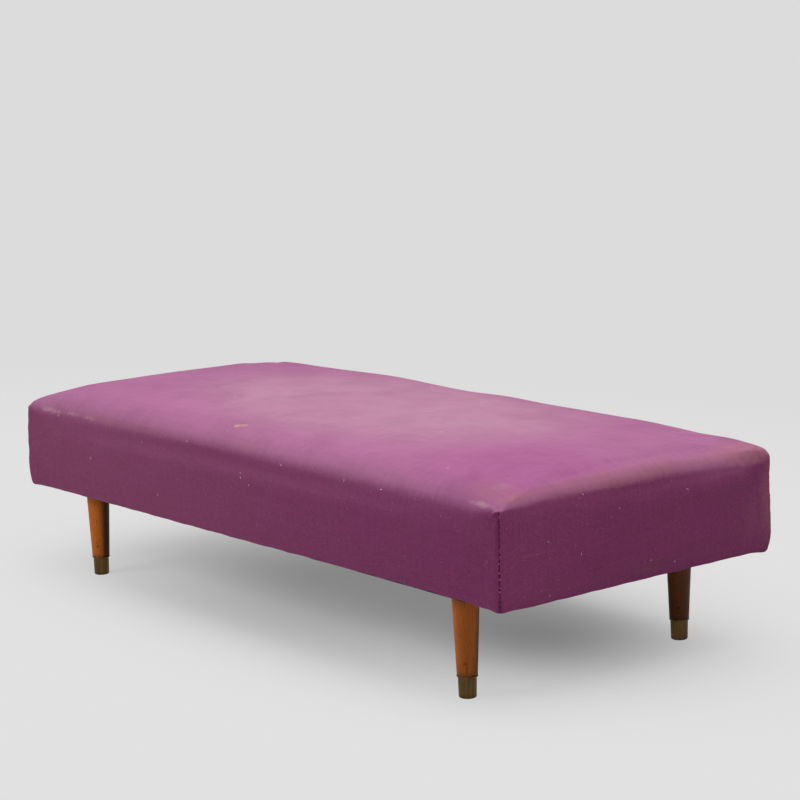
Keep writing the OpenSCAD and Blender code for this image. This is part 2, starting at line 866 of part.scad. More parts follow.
cover();
stitches(-1, -1);  // stitches_front_left
stitches(1, -1);  // stitches_front_right
stitches(-1, 1);  // stitches_back_left
stitches(1, 1);  // stitches_back_right
wadding();
stuffing();
hessian();
edge_roll_front();
edge_roll_back();
edge_roll_left();
edge_roll_right();
lashing_long();
lashing_cross();
spring_row(-row_pitch);  // springs_front
spring_row(0);  // springs_middle
spring_row(row_pitch);  // springs_back
webbing_long();
webbing_cross();
webbing_tacks();
long_rail(-1);  // rail_front
long_rail(1);  // rail_back
end_rail(-1);  // rail_left
end_rail(1);  // rail_right
leg_board(-1);  // leg_board_left
leg_board(1);  // leg_board_right
centre_stretcher();
corner_block(-1, -1);  // corner_block_front_left
corner_block(1, -1);  // corner_block_front_right
corner_block(-1, 1);  // corner_block_back_left
corner_block(1, 1);  // corner_block_back_right
color(steel) rail_screw_places() screw(screw_length, 0);  // rail_screws
color(steel) board_screw_places() screw(screw_length, 0);  // board_screws
color(steel) stretcher_screw_places() screw(screw_length, 0);  // stretcher_screws
color(steel) four_corners() block_screw_places() screw(block_screw_length, 0);  // block_screws
at_leg(-1, -1) leg();  // leg_front_left
at_leg(1, -1) leg();  // leg_front_right
at_leg(-1, 1) leg();  // leg_back_left
at_leg(1, 1) leg();  // leg_back_right
at_leg(-1, -1) ferrule();  // ferrule_front_left
at_leg(1, -1) ferrule();  // ferrule_front_right
at_leg(-1, 1) ferrule();  // ferrule_back_left
at_leg(1, 1) ferrule();  // ferrule_back_right
at_leg(-1, -1) leg_bolt();  // leg_bolt_front_left
at_leg(1, -1) leg_bolt();  // leg_bolt_front_right
at_leg(-1, 1) leg_bolt();  // leg_bolt_back_left
at_leg(1, 1) leg_bolt();  // leg_bolt_back_right
at_leg(-1, -1) tee_nut();  // tee_nut_front_left
at_leg(1, -1) tee_nut();  // tee_nut_front_right
at_leg(-1, 1) tee_nut();  // tee_nut_back_left
at_leg(1, 1) tee_nut();  // tee_nut_back_right
cover_tacks();
dust_cover();
dust_cover_tacks();
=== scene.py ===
import itertools
import math

import bmesh
import bpy
import numpy as np
from mathutils import Matrix, Vector
from mathutils.bvhtree import BVHTree


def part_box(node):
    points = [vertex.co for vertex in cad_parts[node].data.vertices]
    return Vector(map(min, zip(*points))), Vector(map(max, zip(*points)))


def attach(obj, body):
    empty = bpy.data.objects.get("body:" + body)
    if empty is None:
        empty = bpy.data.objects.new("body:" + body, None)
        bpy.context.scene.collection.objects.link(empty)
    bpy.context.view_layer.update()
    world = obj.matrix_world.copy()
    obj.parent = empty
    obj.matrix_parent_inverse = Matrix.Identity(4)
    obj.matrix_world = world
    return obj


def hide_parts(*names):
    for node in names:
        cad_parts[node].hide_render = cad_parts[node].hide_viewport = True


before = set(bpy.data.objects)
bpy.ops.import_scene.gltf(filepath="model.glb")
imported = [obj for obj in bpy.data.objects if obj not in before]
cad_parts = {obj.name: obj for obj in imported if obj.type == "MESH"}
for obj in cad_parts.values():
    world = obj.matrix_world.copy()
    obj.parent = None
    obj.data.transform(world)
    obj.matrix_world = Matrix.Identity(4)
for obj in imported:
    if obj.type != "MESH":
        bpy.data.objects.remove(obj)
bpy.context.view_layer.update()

# Backless divan in metres, in the frame of the CAD: X along the length, -Y is the front.
# The cover, what fills it, the cords, webs and springs are built here; the rest is the CAD's own.
print("frame loaded:", len(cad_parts), "nodes")

corners = {
    "front_left": (-1, -1), "front_right": (1, -1), "back_left": (-1, 1), "back_right": (1, 1),
}
halfLength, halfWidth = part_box("cover")[1][:2]


# Shader helpers

def newMaterial(name):
    material = bpy.data.materials.new(name)
    material.use_nodes = True
    tree = material.node_tree
    tree.nodes.clear()
    return material, tree, put(tree, "TexCoord").outputs["Object"]


def put(tree, kind, inputs=None, **settings):
    node = tree.nodes.new("ShaderNode" + kind)
    for key, value in settings.items():
        setattr(node, key, value)
    for key, value in (inputs or {}).items():
        if isinstance(value, bpy.types.NodeSocket):
            tree.links.new(value, node.inputs[key])
        else:
            node.inputs[key].default_value = value
    return node


def calc(tree, operation, *values):
    return put(tree, "Math", dict(enumerate(values)), operation=operation).outputs[0]


def plus(tree, first, second):
    return calc(tree, "ADD", first, second)


def minus(tree, first, second):
    return calc(tree, "SUBTRACT", first, second)


def times(tree, first, *others):
    for other in others:
        first = calc(tree, "MULTIPLY", first, other)
    return first


def vectorCalc(tree, operation, first, second):
    return put(tree, "VectorMath", {0: first, 1: second}, operation=operation).outputs[0]


def lengthOf(tree, vector):
    return put(tree, "VectorMath", {0: vector}, operation="LENGTH").outputs["Value"]


def axesOf(tree, vector):
    return put(tree, "SeparateXYZ", {0: vector}).outputs


def remap(tree, value, low, high, toLow=0.0, toHigh=1.0):
    inputs = {"Value": value, "From Min": low, "From Max": high, "To Min": toLow, "To Max": toHigh}
    return put(tree, "MapRange", inputs, interpolation_type="SMOOTHSTEP").outputs[0]


def mixColour(tree, share, first, second, kind="MIX"):
    return put(tree, "Mix", {0: share, 6: first, 7: second}, data_type="RGBA", blend_type=kind).outputs[2]


def colour(text, tone=1.0):
    parts = [int(text[k:k + 2], 16) / 255 for k in (1, 3, 5)]
    return [tone * (p / 12.92 if p <= 0.04045 else ((p + 0.055) / 1.055) ** 2.4) for p in parts] + [1.0]


def greyOf(tree, shade):
    return put(tree, "CombineXYZ", {0: shade, 1: shade, 2: shade}).outputs[0]


def shaded(tree, base, shade):
    return mixColour(tree, 1.0, base, greyOf(tree, shade), "MULTIPLY")


def noiseOf(tree, place, scale, detail=2.0, roughness=0.5, stretch=None):
    if stretch is not None:
        place = put(tree, "Mapping", {"Vector": place, "Scale": stretch}).outputs[0]
    inputs = {"Vector": place, "Scale": scale, "Detail": detail, "Roughness": roughness}
    return put(tree, "TexNoise", inputs).outputs[0]


def finish(material, tree, height, relief, sockets):
    # the shader, with the given height as a bump of so many metres
    normal = put(tree, "Bump", {"Height": height, "Distance": relief, "Strength": 1.0}).outputs[0]
    shader = put(tree, "BsdfPrincipled", {**sockets, "Normal": normal})
    put(tree, "OutputMaterial", {0: shader.outputs[0]})
    return material


def newGroup(name, inputs, outputs):
    # a number as a socket's default makes it a number socket, anything else a vector socket
    tree = bpy.data.node_groups.new(name, "ShaderNodeTree")
    for socket, value in inputs.items():
        kind = "NodeSocketFloat" if isinstance(value, float) else "NodeSocketVector"
        made = tree.interface.new_socket(socket, in_out="INPUT", socket_type=kind)
        if value is not None:
            made.default_value = value
    for socket in outputs:
        tree.interface.new_socket(socket, in_out="OUTPUT", socket_type="NodeSocketFloat")
    entry = tree.nodes.new("NodeGroupInput").outputs
    leave = tree.nodes.new("NodeGroupOutput").inputs
    return tree, entry, leave


def useGroup(tree, group, inputs):
    return put(tree, "Group", inputs, node_tree=group).outputs


def spotMask(tree, place, centre, size, core, uneven, grain):
    return useGroup(tree, softSpot, {
        "Place": place, "Centre": centre, "Size": size, "Core": core, "Uneven": uneven, "Grain": grain,
    })["Mask"]


# Shared effects

def makeWeave():
    # plain weave: two sets of round threads that pass over and under each other
    tree, entry, leave = newGroup(
        "clothWeave", {"Place": None, "Pitch": 0.002, "Slub": 0.3}, ("Height", "Shade"))
    place = entry["Place"]
    wobble = put(tree, "TexNoise", {"Vector": place, "Scale": 45.0, "Detail": 1.0}).outputs["Color"]
    shift = vectorCalc(tree, "SUBTRACT", wobble, (0.5, 0.5, 0.5))
    moved = vectorCalc(tree, "ADD", place, vectorCalc(tree, "MULTIPLY", shift, (0.0016, 0.0016, 0.0016)))
    turns = [calc(tree, "DIVIDE", axis, entry["Pitch"]) for axis in axesOf(tree, moved)[:2]]
    cells = [calc(tree, "FLOOR", turn) for turn in turns]
    rounds = [
        calc(tree, "SINE", times(tree, minus(tree, turn, cell), math.pi))
        for turn, cell in zip(turns, cells)
    ]
    crown = times(tree, *rounds)
    over = calc(tree, "PINGPONG", plus(tree, *cells), 1.0)
    under = minus(tree, 1.0, over)
    warp = noiseOf(tree, moved, 90.0, 1.0, stretch=(1.0, 0.12, 1.0))
    weft = noiseOf(tree, moved, 90.0, 1.0, stretch=(0.12, 1.0, 1.0))
    yarn = plus(tree, times(tree, warp, over), times(tree, weft, under))
    slub = times(tree, minus(tree, yarn, 0.5), entry["Slub"])
    tree.links.new(plus(tree, crown, slub), leave["Height"])
    tree.links.new(plus(tree, remap(tree, crown, 0.0, 0.6, 0.86, 1.04), slub), leave["Shade"])
    return tree


def makeSpot():
    # soft oval mask around a place, with an uneven rim
    tree, entry, leave = newGroup(
        "softSpot",
        {
            "Place": None, "Centre": (0.0, 0.0, 0.0), "Size": (0.1, 0.1, 0.1),
            "Core": 0.3, "Uneven": 0.3, "Grain": 30.0,
        },
        ("Mask",),
    )
    away = vectorCalc(tree, "SUBTRACT", entry["Place"], entry["Centre"])
    length = lengthOf(tree, vectorCalc(tree, "DIVIDE", away, entry["Size"]))
    rim = minus(tree, noiseOf(tree, entry["Place"], entry["Grain"], 3.0), 0.5)
    reach = plus(tree, length, times(tree, rim, entry["Uneven"], 2.0))
    tree.links.new(remap(tree, reach, 1.0, entry["Core"]), leave["Mask"])
    return tree


def makeSpecks():
    # small scattered specks of dust, lint or rust
    tree, entry, leave = newGroup(
        "dustSpecks", {"Place": None, "Spacing": 0.02, "Size": 0.05, "Share": 0.2}, ("Mask",))
    scale = calc(tree, "DIVIDE", 1.0, entry["Spacing"])
    cells = put(tree, "TexVoronoi", {"Vector": entry["Place"], "Scale": scale, "Randomness": 1.0})
    chosen = calc(tree, "LESS_THAN", axesOf(tree, cells.outputs["Color"])[0], entry["Share"])
    near = calc(tree, "LESS_THAN", cells.outputs["Distance"], entry["Size"])
    tree.links.new(times(tree, chosen, near), leave["Mask"])
    return tree


def makeGrain():
    # wood: long fibres along Z of the given place, wide bands and short dark pores
    tree, entry, leave = newGroup(
        "woodGrain", {"Place": None, "Fineness": 1.0}, ("Band", "Fibre", "Pore"))
    sized = put(
        tree, "VectorMath", {0: entry["Place"], "Scale": entry["Fineness"]}, operation="SCALE"
    ).outputs[0]
    band = noiseOf(tree, sized, 22.0, 3.0, 0.55, (1.0, 1.0, 0.09))
    fibre = noiseOf(tree, sized, 260.0, 3.0, 0.6, (1.0, 1.0, 0.03))
    pore = noiseOf(tree, sized, 520.0, 1.0, 0.5, (1.0, 1.0, 0.05))
    tree.links.new(remap(tree, band, 0.35, 0.65), leave["Band"])
    tree.links.new(fibre, leave["Fibre"])
    tree.links.new(remap(tree, pore, 0.6, 0.72), leave["Pore"])
    return tree


clothWeave = makeWeave()
softSpot = makeSpot()
dustSpecks = makeSpecks()
woodGrain = makeGrain()
print("shared effects ready")


# Cloth materials

wool = {
    "top": "#b4709b", "faded": "#bd8aa3", "vivid": "#ad6196", "edge": "#9a5c80",
    "side": "#8c416a", "sideNear": "#833365", "end": "#933f72", "endNear": "#9b4478", "cloud": "#7d3f60",
    "rub": "#a9697a", "paintedLight": "#bb768c", "worn": "#a55d76", "pale": "#d8b7bd", "brown": "#85504f",
    "stain": "#d3a88c", "lint": "#d9b9c6", "seamShade": "#4a1f3a", "sheenTint": "#e0a8c6",
    "pitch": 0.0014, "slub": 0.35, "relief": 0.0003, "sheen": 0.35, "sheenRoughness": 0.45,
    "mottle": 1.2, "patches": 0.35, "specks": 0.45, "clouds": 0.22, "cornerRadius": 0.013,
    # where the sides and the right end change colour, where that end begins, and where the top's paler
    # colour (partly sun-fading, partly painted light) begins
    "sideRun": (-0.7, 0.7), "endRun": (-0.33, -0.08), "endStart": (0.864, 0.873), "topStart": (0.05, 0.6),
    # faded and fresh places on the top, and its browner edge: centre and half sizes, or distances
    "fadedPlace": ((0.03, 0.02, 0.45), (0.80, 0.44, 1.0)),
    "freshPlace": ((0.76, -0.22, 0.44), (0.26, 0.30, 1.0)),
    "edgeRun": (0.09, 0.015), "seamTop": (0.412, 0.400), "seamHalf": (0.0042, 0.0012),
}
# Worn and marked places on the cover, and painted light on the back right shoulder: colour, centre, half
# sizes, core, strength, rim, speckle
woolMarks = [
    ("rub", (0.862, -0.02, 0.428), (0.040, 0.520, 0.026), 0.40, 0.75, 0.25, 0.35),
    # painted light: the back right shoulder paler further down, as if lit there
    ("paintedLight", (0.860, 0.310, 0.430), (0.060, 0.150, 0.026), 0.40, 0.75, 0.30, 0.30),
    ("paintedLight", (0.872, 0.310, 0.412), (0.030, 0.100, 0.020), 0.35, 0.85, 0.30, 0.30),
    ("rub", (0.872, 0.372, 0.330), (0.030, 0.035, 0.110), 0.30, 0.60, 0.40, 0.40),
    ("rub", (-0.500, -0.364, 0.409), (0.420, 0.022, 0.014), 0.20, 0.55, 0.50, 0.60),
    ("pale", (-0.768, -0.366, 0.404), (0.070, 0.014, 0.008), 0.20, 0.60, 0.60, 0.85),
    ("pale", (-0.668, -0.366, 0.407), (0.036, 0.012, 0.007), 0.20, 0.55, 0.70, 0.90),
    ("pale", (-0.585, -0.366, 0.406), (0.032, 0.010, 0.006), 0.20, 0.40, 0.70, 0.90),
    ("pale", (0.812, -0.3655, 0.416), (0.042, 0.013, 0.008), 0.20, 0.75, 0.60, 0.60),
    ("pale", (0.800, -0.300, 0.436), (0.024, 0.030, 0.012), 0.20, 0.25, 0.50, 0.40),
    ("rub", (0.820, -0.320, 0.432), (0.100, 0.070, 0.024), 0.30, 0.55, 0.40, 0.30),
    ("rub", (0.056, -0.362, 0.424), (0.070, 0.020, 0.014), 0.20, 0.60, 0.60, 0.50),
    ("stain", (-0.0425, -0.3175, 0.450), (0.013, 0.010, 0.020), 0.10, 0.90, 0.30, 0.30),
    ("stain", (-0.0310, -0.3135, 0.450), (0.010, 0.008, 0.020), 0.10, 0.60, 0.30, 0.30),
    ("stain", (-0.0205, -0.3100, 0.450), (0.011, 0.010, 0.020), 0.10, 0.80, 0.30, 0.30),
    ("brown", (0.875, 0.020, 0.236), (0.020, 0.085, 0.024), 0.10, 0.60, 0.70, 0.60),
    ("worn", (0.872, 0.372, 0.320), (0.030, 0.046, 0.140), 0.30, 0.90, 0.25, 0.35),
    ("worn", (0.875, 0.330, 0.285), (0.020, 0.080, 0.080), 0.20, 0.40, 0.50, 0.50),
    ("rub", (0.875, -0.300, 0.317), (0.010, 0.055, 0.005), 0.20, 0.40, 0.60, 0.60),
]


def woolTop(tree, place, axes):
    # faded in the middle, fresher near the front right corner, browner along the long edges
    cloud = remap(tree, noiseOf(tree, place, 3.2, 3.0, 0.55), 0.3, 0.7, -0.14, 0.14)
    streak = noiseOf(tree, place, 6.0, 2.0, 0.5, (0.35, 1.6, 1.0))
    uneven = plus(tree, cloud, remap(tree, streak, 0.3, 0.7, -0.10, 0.10))
    middle = spotMask(tree, place, *wool["fadedPlace"], 0.42, 0.12, 3.0)
    fade = times(tree, plus(tree, middle, uneven), middle)
    fresh = spotMask(tree, place, *wool["freshPlace"], 0.2, 0.2, 4.0)
    toSide = minus(tree, halfWidth, calc(tree, "ABSOLUTE", axes[1]))
    top = mixColour(tree, fade, colour(wool["top"]), colour(wool["faded"]))
    top = mixColour(tree, times(tree, fresh, 0.8), top, colour(wool["vivid"]))
    return mixColour(tree, remap(tree, toSide, *wool["edgeRun"], 0.0, 0.35), top, colour(wool["edge"]))


def woolSides(tree, axes):
    # darker towards the right; the right end lighter, most towards the front, as painted light
    nearer = remap(tree, axes[0], *wool["sideRun"])
    behind = remap(tree, axes[1], *wool["endRun"])
    side = mixColour(tree, nearer, colour(wool["side"]), colour(wool["sideNear"]))
    end = mixColour(tree, behind, colour(wool["endNear"]), colour(wool["end"]))
    return mixColour(tree, remap(tree, axes[0], *wool["endStart"]), side, end)


def addMarks(tree, base, place, cloth):
    scuff = remap(tree, noiseOf(tree, cloth, 230.0, 3.0, 0.7), 0.40, 0.66)
    for name, centre, size, core, strength, rim, speckle in woolMarks:
        mask = spotMask(tree, place, centre, size, core, rim, 70.0)
        broken = calc(tree, "MULTIPLY_ADD", scuff, speckle, 1 - speckle)
        base = mixColour(tree, times(tree, mask, broken, strength), base, colour(wool[name]))
    return base


def seamShadeMask(tree, place, axes):
    # painted shade: a narrow, broken dark line down the groove of the closed seam at each corner
    pastX, pastY = (
        minus(tree, calc(tree, "ABSOLUTE", axis), half - wool["cornerRadius"])
        for axis, half in zip(axes, (halfLength, halfWidth))
    )
    across = remap(tree, calc(tree, "ABSOLUTE", minus(tree, pastX, pastY)), *wool["seamHalf"])
    beside = remap(tree, calc(tree, "MINIMUM", pastX, pastY), 0.0, 0.004)
    gaps = remap(tree, noiseOf(tree, place, 130.0, 1.0), 0.40, 0.60, 0.10, 0.65)
    return times(tree, across, beside, remap(tree, axes[2], *wool["seamTop"]), gaps)


def makeWool():
    material, tree, place = newMaterial("woolCover")
    cloth = put(tree, "UVMap", uv_map="clothLength").outputs[0]
    weave = useGroup(tree, clothWeave, {"Place": cloth, "Pitch": wool["pitch"], "Slub": wool["slub"]})
    axes = axesOf(tree, place)
    facing = axesOf(tree, put(tree, "NewGeometry").outputs["Normal"])[2]
    # the top's paler colour, partly sun-fading and partly painted light where the cloth faces up, stops
    # higher up the shoulder at the right end, mostly in front
    turned = times(tree, remap(tree, axes[0], 0.79, 0.86, 0.0, 0.22),
                   remap(tree, axes[1], -0.10, 0.20, 1.0, 0.60))
    topFadeAndLight = remap(tree, minus(tree, facing, turned), *wool["topStart"])
    base = mixColour(tree, topFadeAndLight, woolSides(tree, axes), woolTop(tree, place, axes))
    cloud = remap(tree, noiseOf(tree, place, 9.0, 4.0, 0.6), 0.35, 0.75, 0.0, wool["clouds"])
    base = addMarks(tree, mixColour(tree, cloud, base, colour(wool["cloud"])), place, cloth)
    # specks and the yarn's own mottling show on the sides more than on the worn top
    steep = remap(tree, facing, 0.75, 0.2, 0.08, 1.0)
    specks = useGroup(tree, dustSpecks, {
        "Place": cloth, "Spacing": 0.010, "Size": 0.09, "Share": 0.30,
    })["Mask"]
    base = mixColour(tree, times(tree, specks, wool["specks"], steep), base, colour(wool["lint"]))
    base = mixColour(tree, seamShadeMask(tree, place, axes), base, colour(wool["seamShade"]))
    grains = minus(tree, noiseOf(tree, cloth, 330.0, 2.0, 0.6), 0.5)
    patches = minus(tree, noiseOf(tree, cloth, 95.0, 3.0, 0.6), 0.5)
    depth = times(tree, steep, wool["mottle"])
    mottle = calc(tree, "MULTIPLY_ADD", grains, depth, 1.0)
    mottle = calc(tree, "MULTIPLY_ADD", patches, times(tree, depth, wool["patches"]), mottle)
    base = shaded(tree, base, times(tree, weave["Shade"], mottle))
    fuzz = times(tree, noiseOf(tree, cloth, 900.0, 2.0, 0.7), 0.5)
    return finish(material, tree, plus(tree, weave["Height"], fuzz), wool["relief"], {
        "Base Color": base, "Roughness": 0.95, "Specular IOR Level": 0.12,
        "Sheen Weight": wool["sheen"], "Sheen Roughness": wool["sheenRoughness"],
        "Sheen Tint": colour(wool["sheenTint"]),
    })


def makeYarnCloth(name, light, dark, pitch, relief):
    # plain woven cloth or webbing, placed by the object's own coordinates
    material, tree, place = newMaterial(name)
    weave = useGroup(tree, clothWeave, {"Place": place, "Pitch": pitch, "Slub": 0.4})
    cloud = noiseOf(tree, place, 14.0, 4.0, 0.6)
    base = mixColour(tree, remap(tree, cloud, 0.3, 0.7), colour(light), colour(dark))
    return finish(material, tree, weave["Height"], relief, {
        "Base Color": shaded(tree, base, weave["Shade"]), "Roughness": 0.9, "Sheen Weight": 0.1,
        "Specular IOR Level": 0.15,
    })


def makeFibre(name, light, dark, scale, relief, stretch=(1.0, 0.25, 1.0)):
    # loose or twisted fibre: long hairs over soft lumps
    material, tree, place = newMaterial(name)
    lumps = noiseOf(tree, place, scale, 4.0, 0.6)
    hairs = noiseOf(tree, place, scale * 22, 3.0, 0.7, stretch)
    base = mixColour(tree, remap(tree, lumps, 0.3, 0.7), colour(light), colour(dark))
    base = mixColour(tree, remap(tree, hairs, 0.3, 0.75, 0.0, 0.45), base, colour(dark))
    return finish(material, tree, plus(tree, hairs, times(tree, lumps, 2.0)), relief, {
        "Base Color": base, "Roughness": 0.95, "Sheen Weight": 0.15, "Specular IOR Level": 0.1,
    })


# Wood and metal materials

legWood = {
    "light": "#dd7922", "dark": "#a2541a", "pore": "#3a1c0b", "scuff": "#2c150a", "shade": "#3c1c0a",
    "roughness": 0.46, "scuffTop": 0.066, "dent": (0.0138, -0.0164, 0.072),
    # tone of each leg, partly painted shade (the back right leg, in the shade under the body, is darkest),
    # the side that faces the light, and the places across it where the painted shade on the other side
    # begins and is full
    "front_left": (0.96, (0.1, -0.99), 0.013, -0.001),
    "front_right": (0.84, (0.5, -0.87), 0.018, -0.010),
    "back_left": (0.8, (0.5, -0.87), 0.018, -0.010),
    "back_right": (0.31, (0.5, -0.87), 0.018, -0.010),
}


def makeLegWood(corner, centre):
    material, tree, place = newMaterial("legWood_" + corner)
    tone, litSide, shadeStart, shadeEnd = legWood[corner]
    grain = useGroup(tree, woodGrain, {"Place": place, "Fineness": 1.6})
    axes = axesOf(tree, place)
    light, dark = colour(legWood["light"], tone), colour(legWood["dark"], tone)
    base = mixColour(tree, times(tree, grain["Band"], 0.6), light, dark)
    base = mixColour(tree, remap(tree, grain["Fibre"], 0.35, 0.7, 0.0, 0.35), base, dark)
    # painted shade: each leg darker on its side away from the light
    towards = plus(tree, times(tree, minus(tree, axes[0], centre[0]), litSide[0]),
                   times(tree, minus(tree, axes[1], centre[1]), litSide[1]))
    paintedShade = remap(tree, towards, shadeStart, shadeEnd, 0.0, 0.92)
    base = mixColour(tree, paintedShade, base, colour(legWood["shade"], tone))
    base = mixColour(tree, times(tree, grain["Pore"], 0.55), base, colour(legWood["pore"]))
    uneven = noiseOf(tree, place, 60.0, 3.0, 0.6)
    top = legWood["scuffTop"]
    low = remap(tree, plus(tree, axes[2], times(tree, uneven, 0.02)), top, top - 0.012, 0.0, 0.45)
    base = mixColour(tree, low, base, colour(legWood["scuff"]))
    dentPlace = (centre[0] + legWood["dent"][0], centre[1] + legWood["dent"][1], legWood["dent"][2])
    dent = spotMask(tree, place, dentPlace, (0.006, 0.006, 0.0035), 0.2, 0.4, 140.0)
    base = mixColour(tree, times(tree, dent, 0.7), base, colour(legWood["scuff"]))
    roughness = remap(tree, uneven, 0.2, 0.8, legWood["roughness"] - 0.08, legWood["roughness"] + 0.14)
    height = minus(tree, grain["Fibre"], times(tree, grain["Pore"], 0.5))
    return finish(material, tree, height, 0.00018, {
        "Base Color": base, "Roughness": roughness, "Specular IOR Level": 0.2,
    })


beech = {"light": "#d0ae7c", "dark": "#b08a58", "pore": "#7a5433", "relief": 0.0003}


def makeFrameWood(along):
    # pale frame wood whose grain runs along one axis
    material, tree, place = newMaterial("beechAlong" + along.upper())
    axes = axesOf(tree, place)
    order = {"x": (1, 2, 0), "y": (2, 0, 1), "z": (0, 1, 2)}[along]
    turned = put(tree, "CombineXYZ", {k: axes[order[k]] for k in (0, 1, 2)}).outputs[0]
    grain = useGroup(tree, woodGrain, {"Place": turned, "Fineness": 0.7})
    dark = colour(beech["dark"])
    base = mixColour(tree, grain["Band"], colour(beech["light"]), dark)
    base = mixColour(tree, remap(tree, grain["Fibre"], 0.35, 0.7, 0.0, 0.4), base, dark)
    base = mixColour(tree, times(tree, grain["Pore"], 0.35), base, colour(beech["pore"]))
    saw = noiseOf(tree, turned, 150.0, 1.0, 0.5, (0.05, 0.05, 1.0))
    height = plus(tree, grain["Fibre"], times(tree, saw, 0.6))
    roughness = remap(tree, grain["Fibre"], 0.3, 0.7, 0.6, 0.78)
    return finish(material, tree, height, beech["relief"], {"Base Color": base, "Roughness": roughness})


brass = {"clean": "#6d542f", "dark": "#413420", "green": "#443f2e", "roughness": 0.34, "relief": 0.00012}


def makeBrass():
    material, tree, place = newMaterial("agedBrass")
    patina = noiseOf(tree, place, 120.0, 4.0, 0.6, (1.0, 1.0, 0.16))
    fine = noiseOf(tree, place, 900.0, 3.0, 0.6, (1.0, 1.0, 0.2))
    dark = colour(brass["dark"])
    base = mixColour(tree, remap(tree, patina, 0.3, 0.7, 0.0, 0.8), colour(brass["clean"]), dark)
    base = mixColour(tree, remap(tree, axesOf(tree, place)[2], 0.012, 0.0, 0.0, 0.7), base, dark)
    green = remap(tree, noiseOf(tree, place, 180.0, 3.0, 0.6), 0.6, 0.74, 0.0, 0.20)
    base = mixColour(tree, green, base, colour(brass["green"]))
    metallic = remap(tree, patina, 0.4, 0.75, 1.0, 0.75)
    roughness = remap(tree, patina, 0.3, 0.7, brass["roughness"], brass["roughness"] + 0.12)
    return finish(material, tree, plus(tree, patina, times(tree, fine, 0.4)), brass["relief"], {
        "Base Color": base, "Metallic": metallic, "Roughness": roughness,
    })


steel = {"rust": "#5b3a25", "relief": 0.00008}


def makeSteel(name, clean, dull, roughness):
    material, tree, place = newMaterial(name)
    cloud = noiseOf(tree, place, 130.0, 4.0, 0.6)
    drawn = noiseOf(tree, place, 1400.0, 2.0, 0.5)
    rust = useGroup(tree, dustSpecks, {
        "Place": place, "Spacing": 0.009, "Size": 0.12, "Share": 0.25,
    })["Mask"]
    base = mixColour(tree, remap(tree, cloud, 0.35, 0.65), colour(clean), colour(dull))
    base = mixColour(tree, times(tree, rust, 0.5), base, colour(steel["rust"]))
    return finish(material, tree, plus(tree, cloud, drawn), steel["relief"], {
        "Base Color": base, "Metallic": minus(tree, 1.0, times(tree, rust, 0.5)),
        "Roughness": remap(tree, cloud, 0.3, 0.7, roughness, roughness + 0.2),
    })


# Plain finishes: maker, light and dark colours, then pattern size and relief, or a metal's roughness
finishes = {
    "seamThread": (makeFibre, "#4c1f3c", "#2f1226", 240.0, 0.0002),
    "lint": (makeFibre, "#e8d8de", "#cdb4be", 300.0, 0.0001),
    "cottonWadding": (makeFibre, "#e9e3d6", "#cfc6b2", 26.0, 0.0010),
    "hairStuffing": (makeFibre, "#9a7b52", "#4c3823", 34.0, 0.0016),
    "rollHessian": (makeYarnCloth, "#b89a68", "#8f7347", 0.0022, 0.0005),
    "hessian": (makeYarnCloth, "#b08f5c", "#8c6d40", 0.0024, 0.0006),
    "juteWebbing": (makeYarnCloth, "#bb9c69", "#8d6f44", 0.0028, 0.0007),
    "juteCord": (makeFibre, "#b3925e", "#7d5f38", 160.0, 0.0004, (0.4, 0.4, 1.0)),
    "dustCloth": (makeYarnCloth, "#2f2d2f", "#211f21", 0.0011, 0.0002),
    "springWire": (makeSteel, "#8f8a82", "#5f5a53", 0.30),
    "fittingSteel": (makeSteel, "#a3a5a8", "#77797c", 0.32),
    "blueTacks": (makeSteel, "#5a6470", "#343b44", 0.35),
}
materials = {name: make(name, *values) for name, (make, *values) in finishes.items()}
frameWoods = {axis: makeFrameWood(axis) for axis in ("x", "y", "z")}
print("materials ready")


# The upholstered form, as in the CAD: a stack of rounded rectangles with a grid on top

form = {
    "underside": 0.2172, "sideHeight": 0.190, "shoulderRise": 0.031, "crownRise": 0.020, "edgeSwell": 0.007,
    "cornerRadius": 0.013, "topCornerRadius": 0.042, "reach": 0.028,
    "cornerDip": 0.014, "cornerDipReach": 0.135, "cornerDrop": 0.004, "cornerDropReach": 0.048,
    "tuck": 0.004, "tuckHeight": 0.045, "bottomRadius": 0.008, "hemWidth": 0.027, "hemStep": 0.019,
    "frameInset": 0.0091, "clothThickness": 0.0015, "waddingThickness": 0.007, "softGap": 0.0003,
    # the worn cover: where its shoulder starts, how far it reaches in, and its flat share
    "startLong": -0.012, "startEnd": -0.007, "reachLong": 0.050, "reachEnd": 0.040,
    "chamferLong": 0.18, "chamferEnd": 0.08, "blendCells": 9, "topDrop": 0.0008,
    # its corners, which the seams pull up, and its right end, which slopes more towards the back
    "earReach": 0.085, "earInset": 0.45, "earRise": 0.009, "earRiseBackRight": 0.003,
    "backRightLift": 0.008, "endDip": 0.0045, "endDipFar": 0.0035, "endDipReach": 0.10,
    "reachFar": -0.008, "farStart": 0.06, "farReach": 0.32,
}
topLevel = form["underside"] + form["sideHeight"] + form["shoulderRise"]


def smooth(t):
    t = np.clip(t, 0.0, 1.0)
    return t * t * (3 - 2 * t)


def cornerShare(x, y, reach):
    away = np.hypot(halfLength - np.abs(x), halfWidth - np.abs(y))
    return 1 - smooth(away / reach)


def towardsBack(y):
    return smooth((y + form["farStart"]) / form["farReach"])


def topLift(x, y, worn):
    swell = form["edgeSwell"] * (1 - (x / halfLength) ** 2)
    dip = np.where(worn & (x > 0) & (y > 0), form["cornerDip"] - form["backRightLift"], form["cornerDip"])
    lift = swell - dip * cornerShare(x, y, form["cornerDipReach"])
    if worn:
        sunk = form["endDip"] + form["endDipFar"] * towardsBack(y)
        lift = lift - sunk * (1 - smooth((halfLength - x) / form["endDipReach"]))
    return lift


def crownLift(x, y):
    along = 1 - np.abs(x / halfLength) ** 6
    return form["crownRise"] * along * (1 - (y / halfWidth) ** 2)


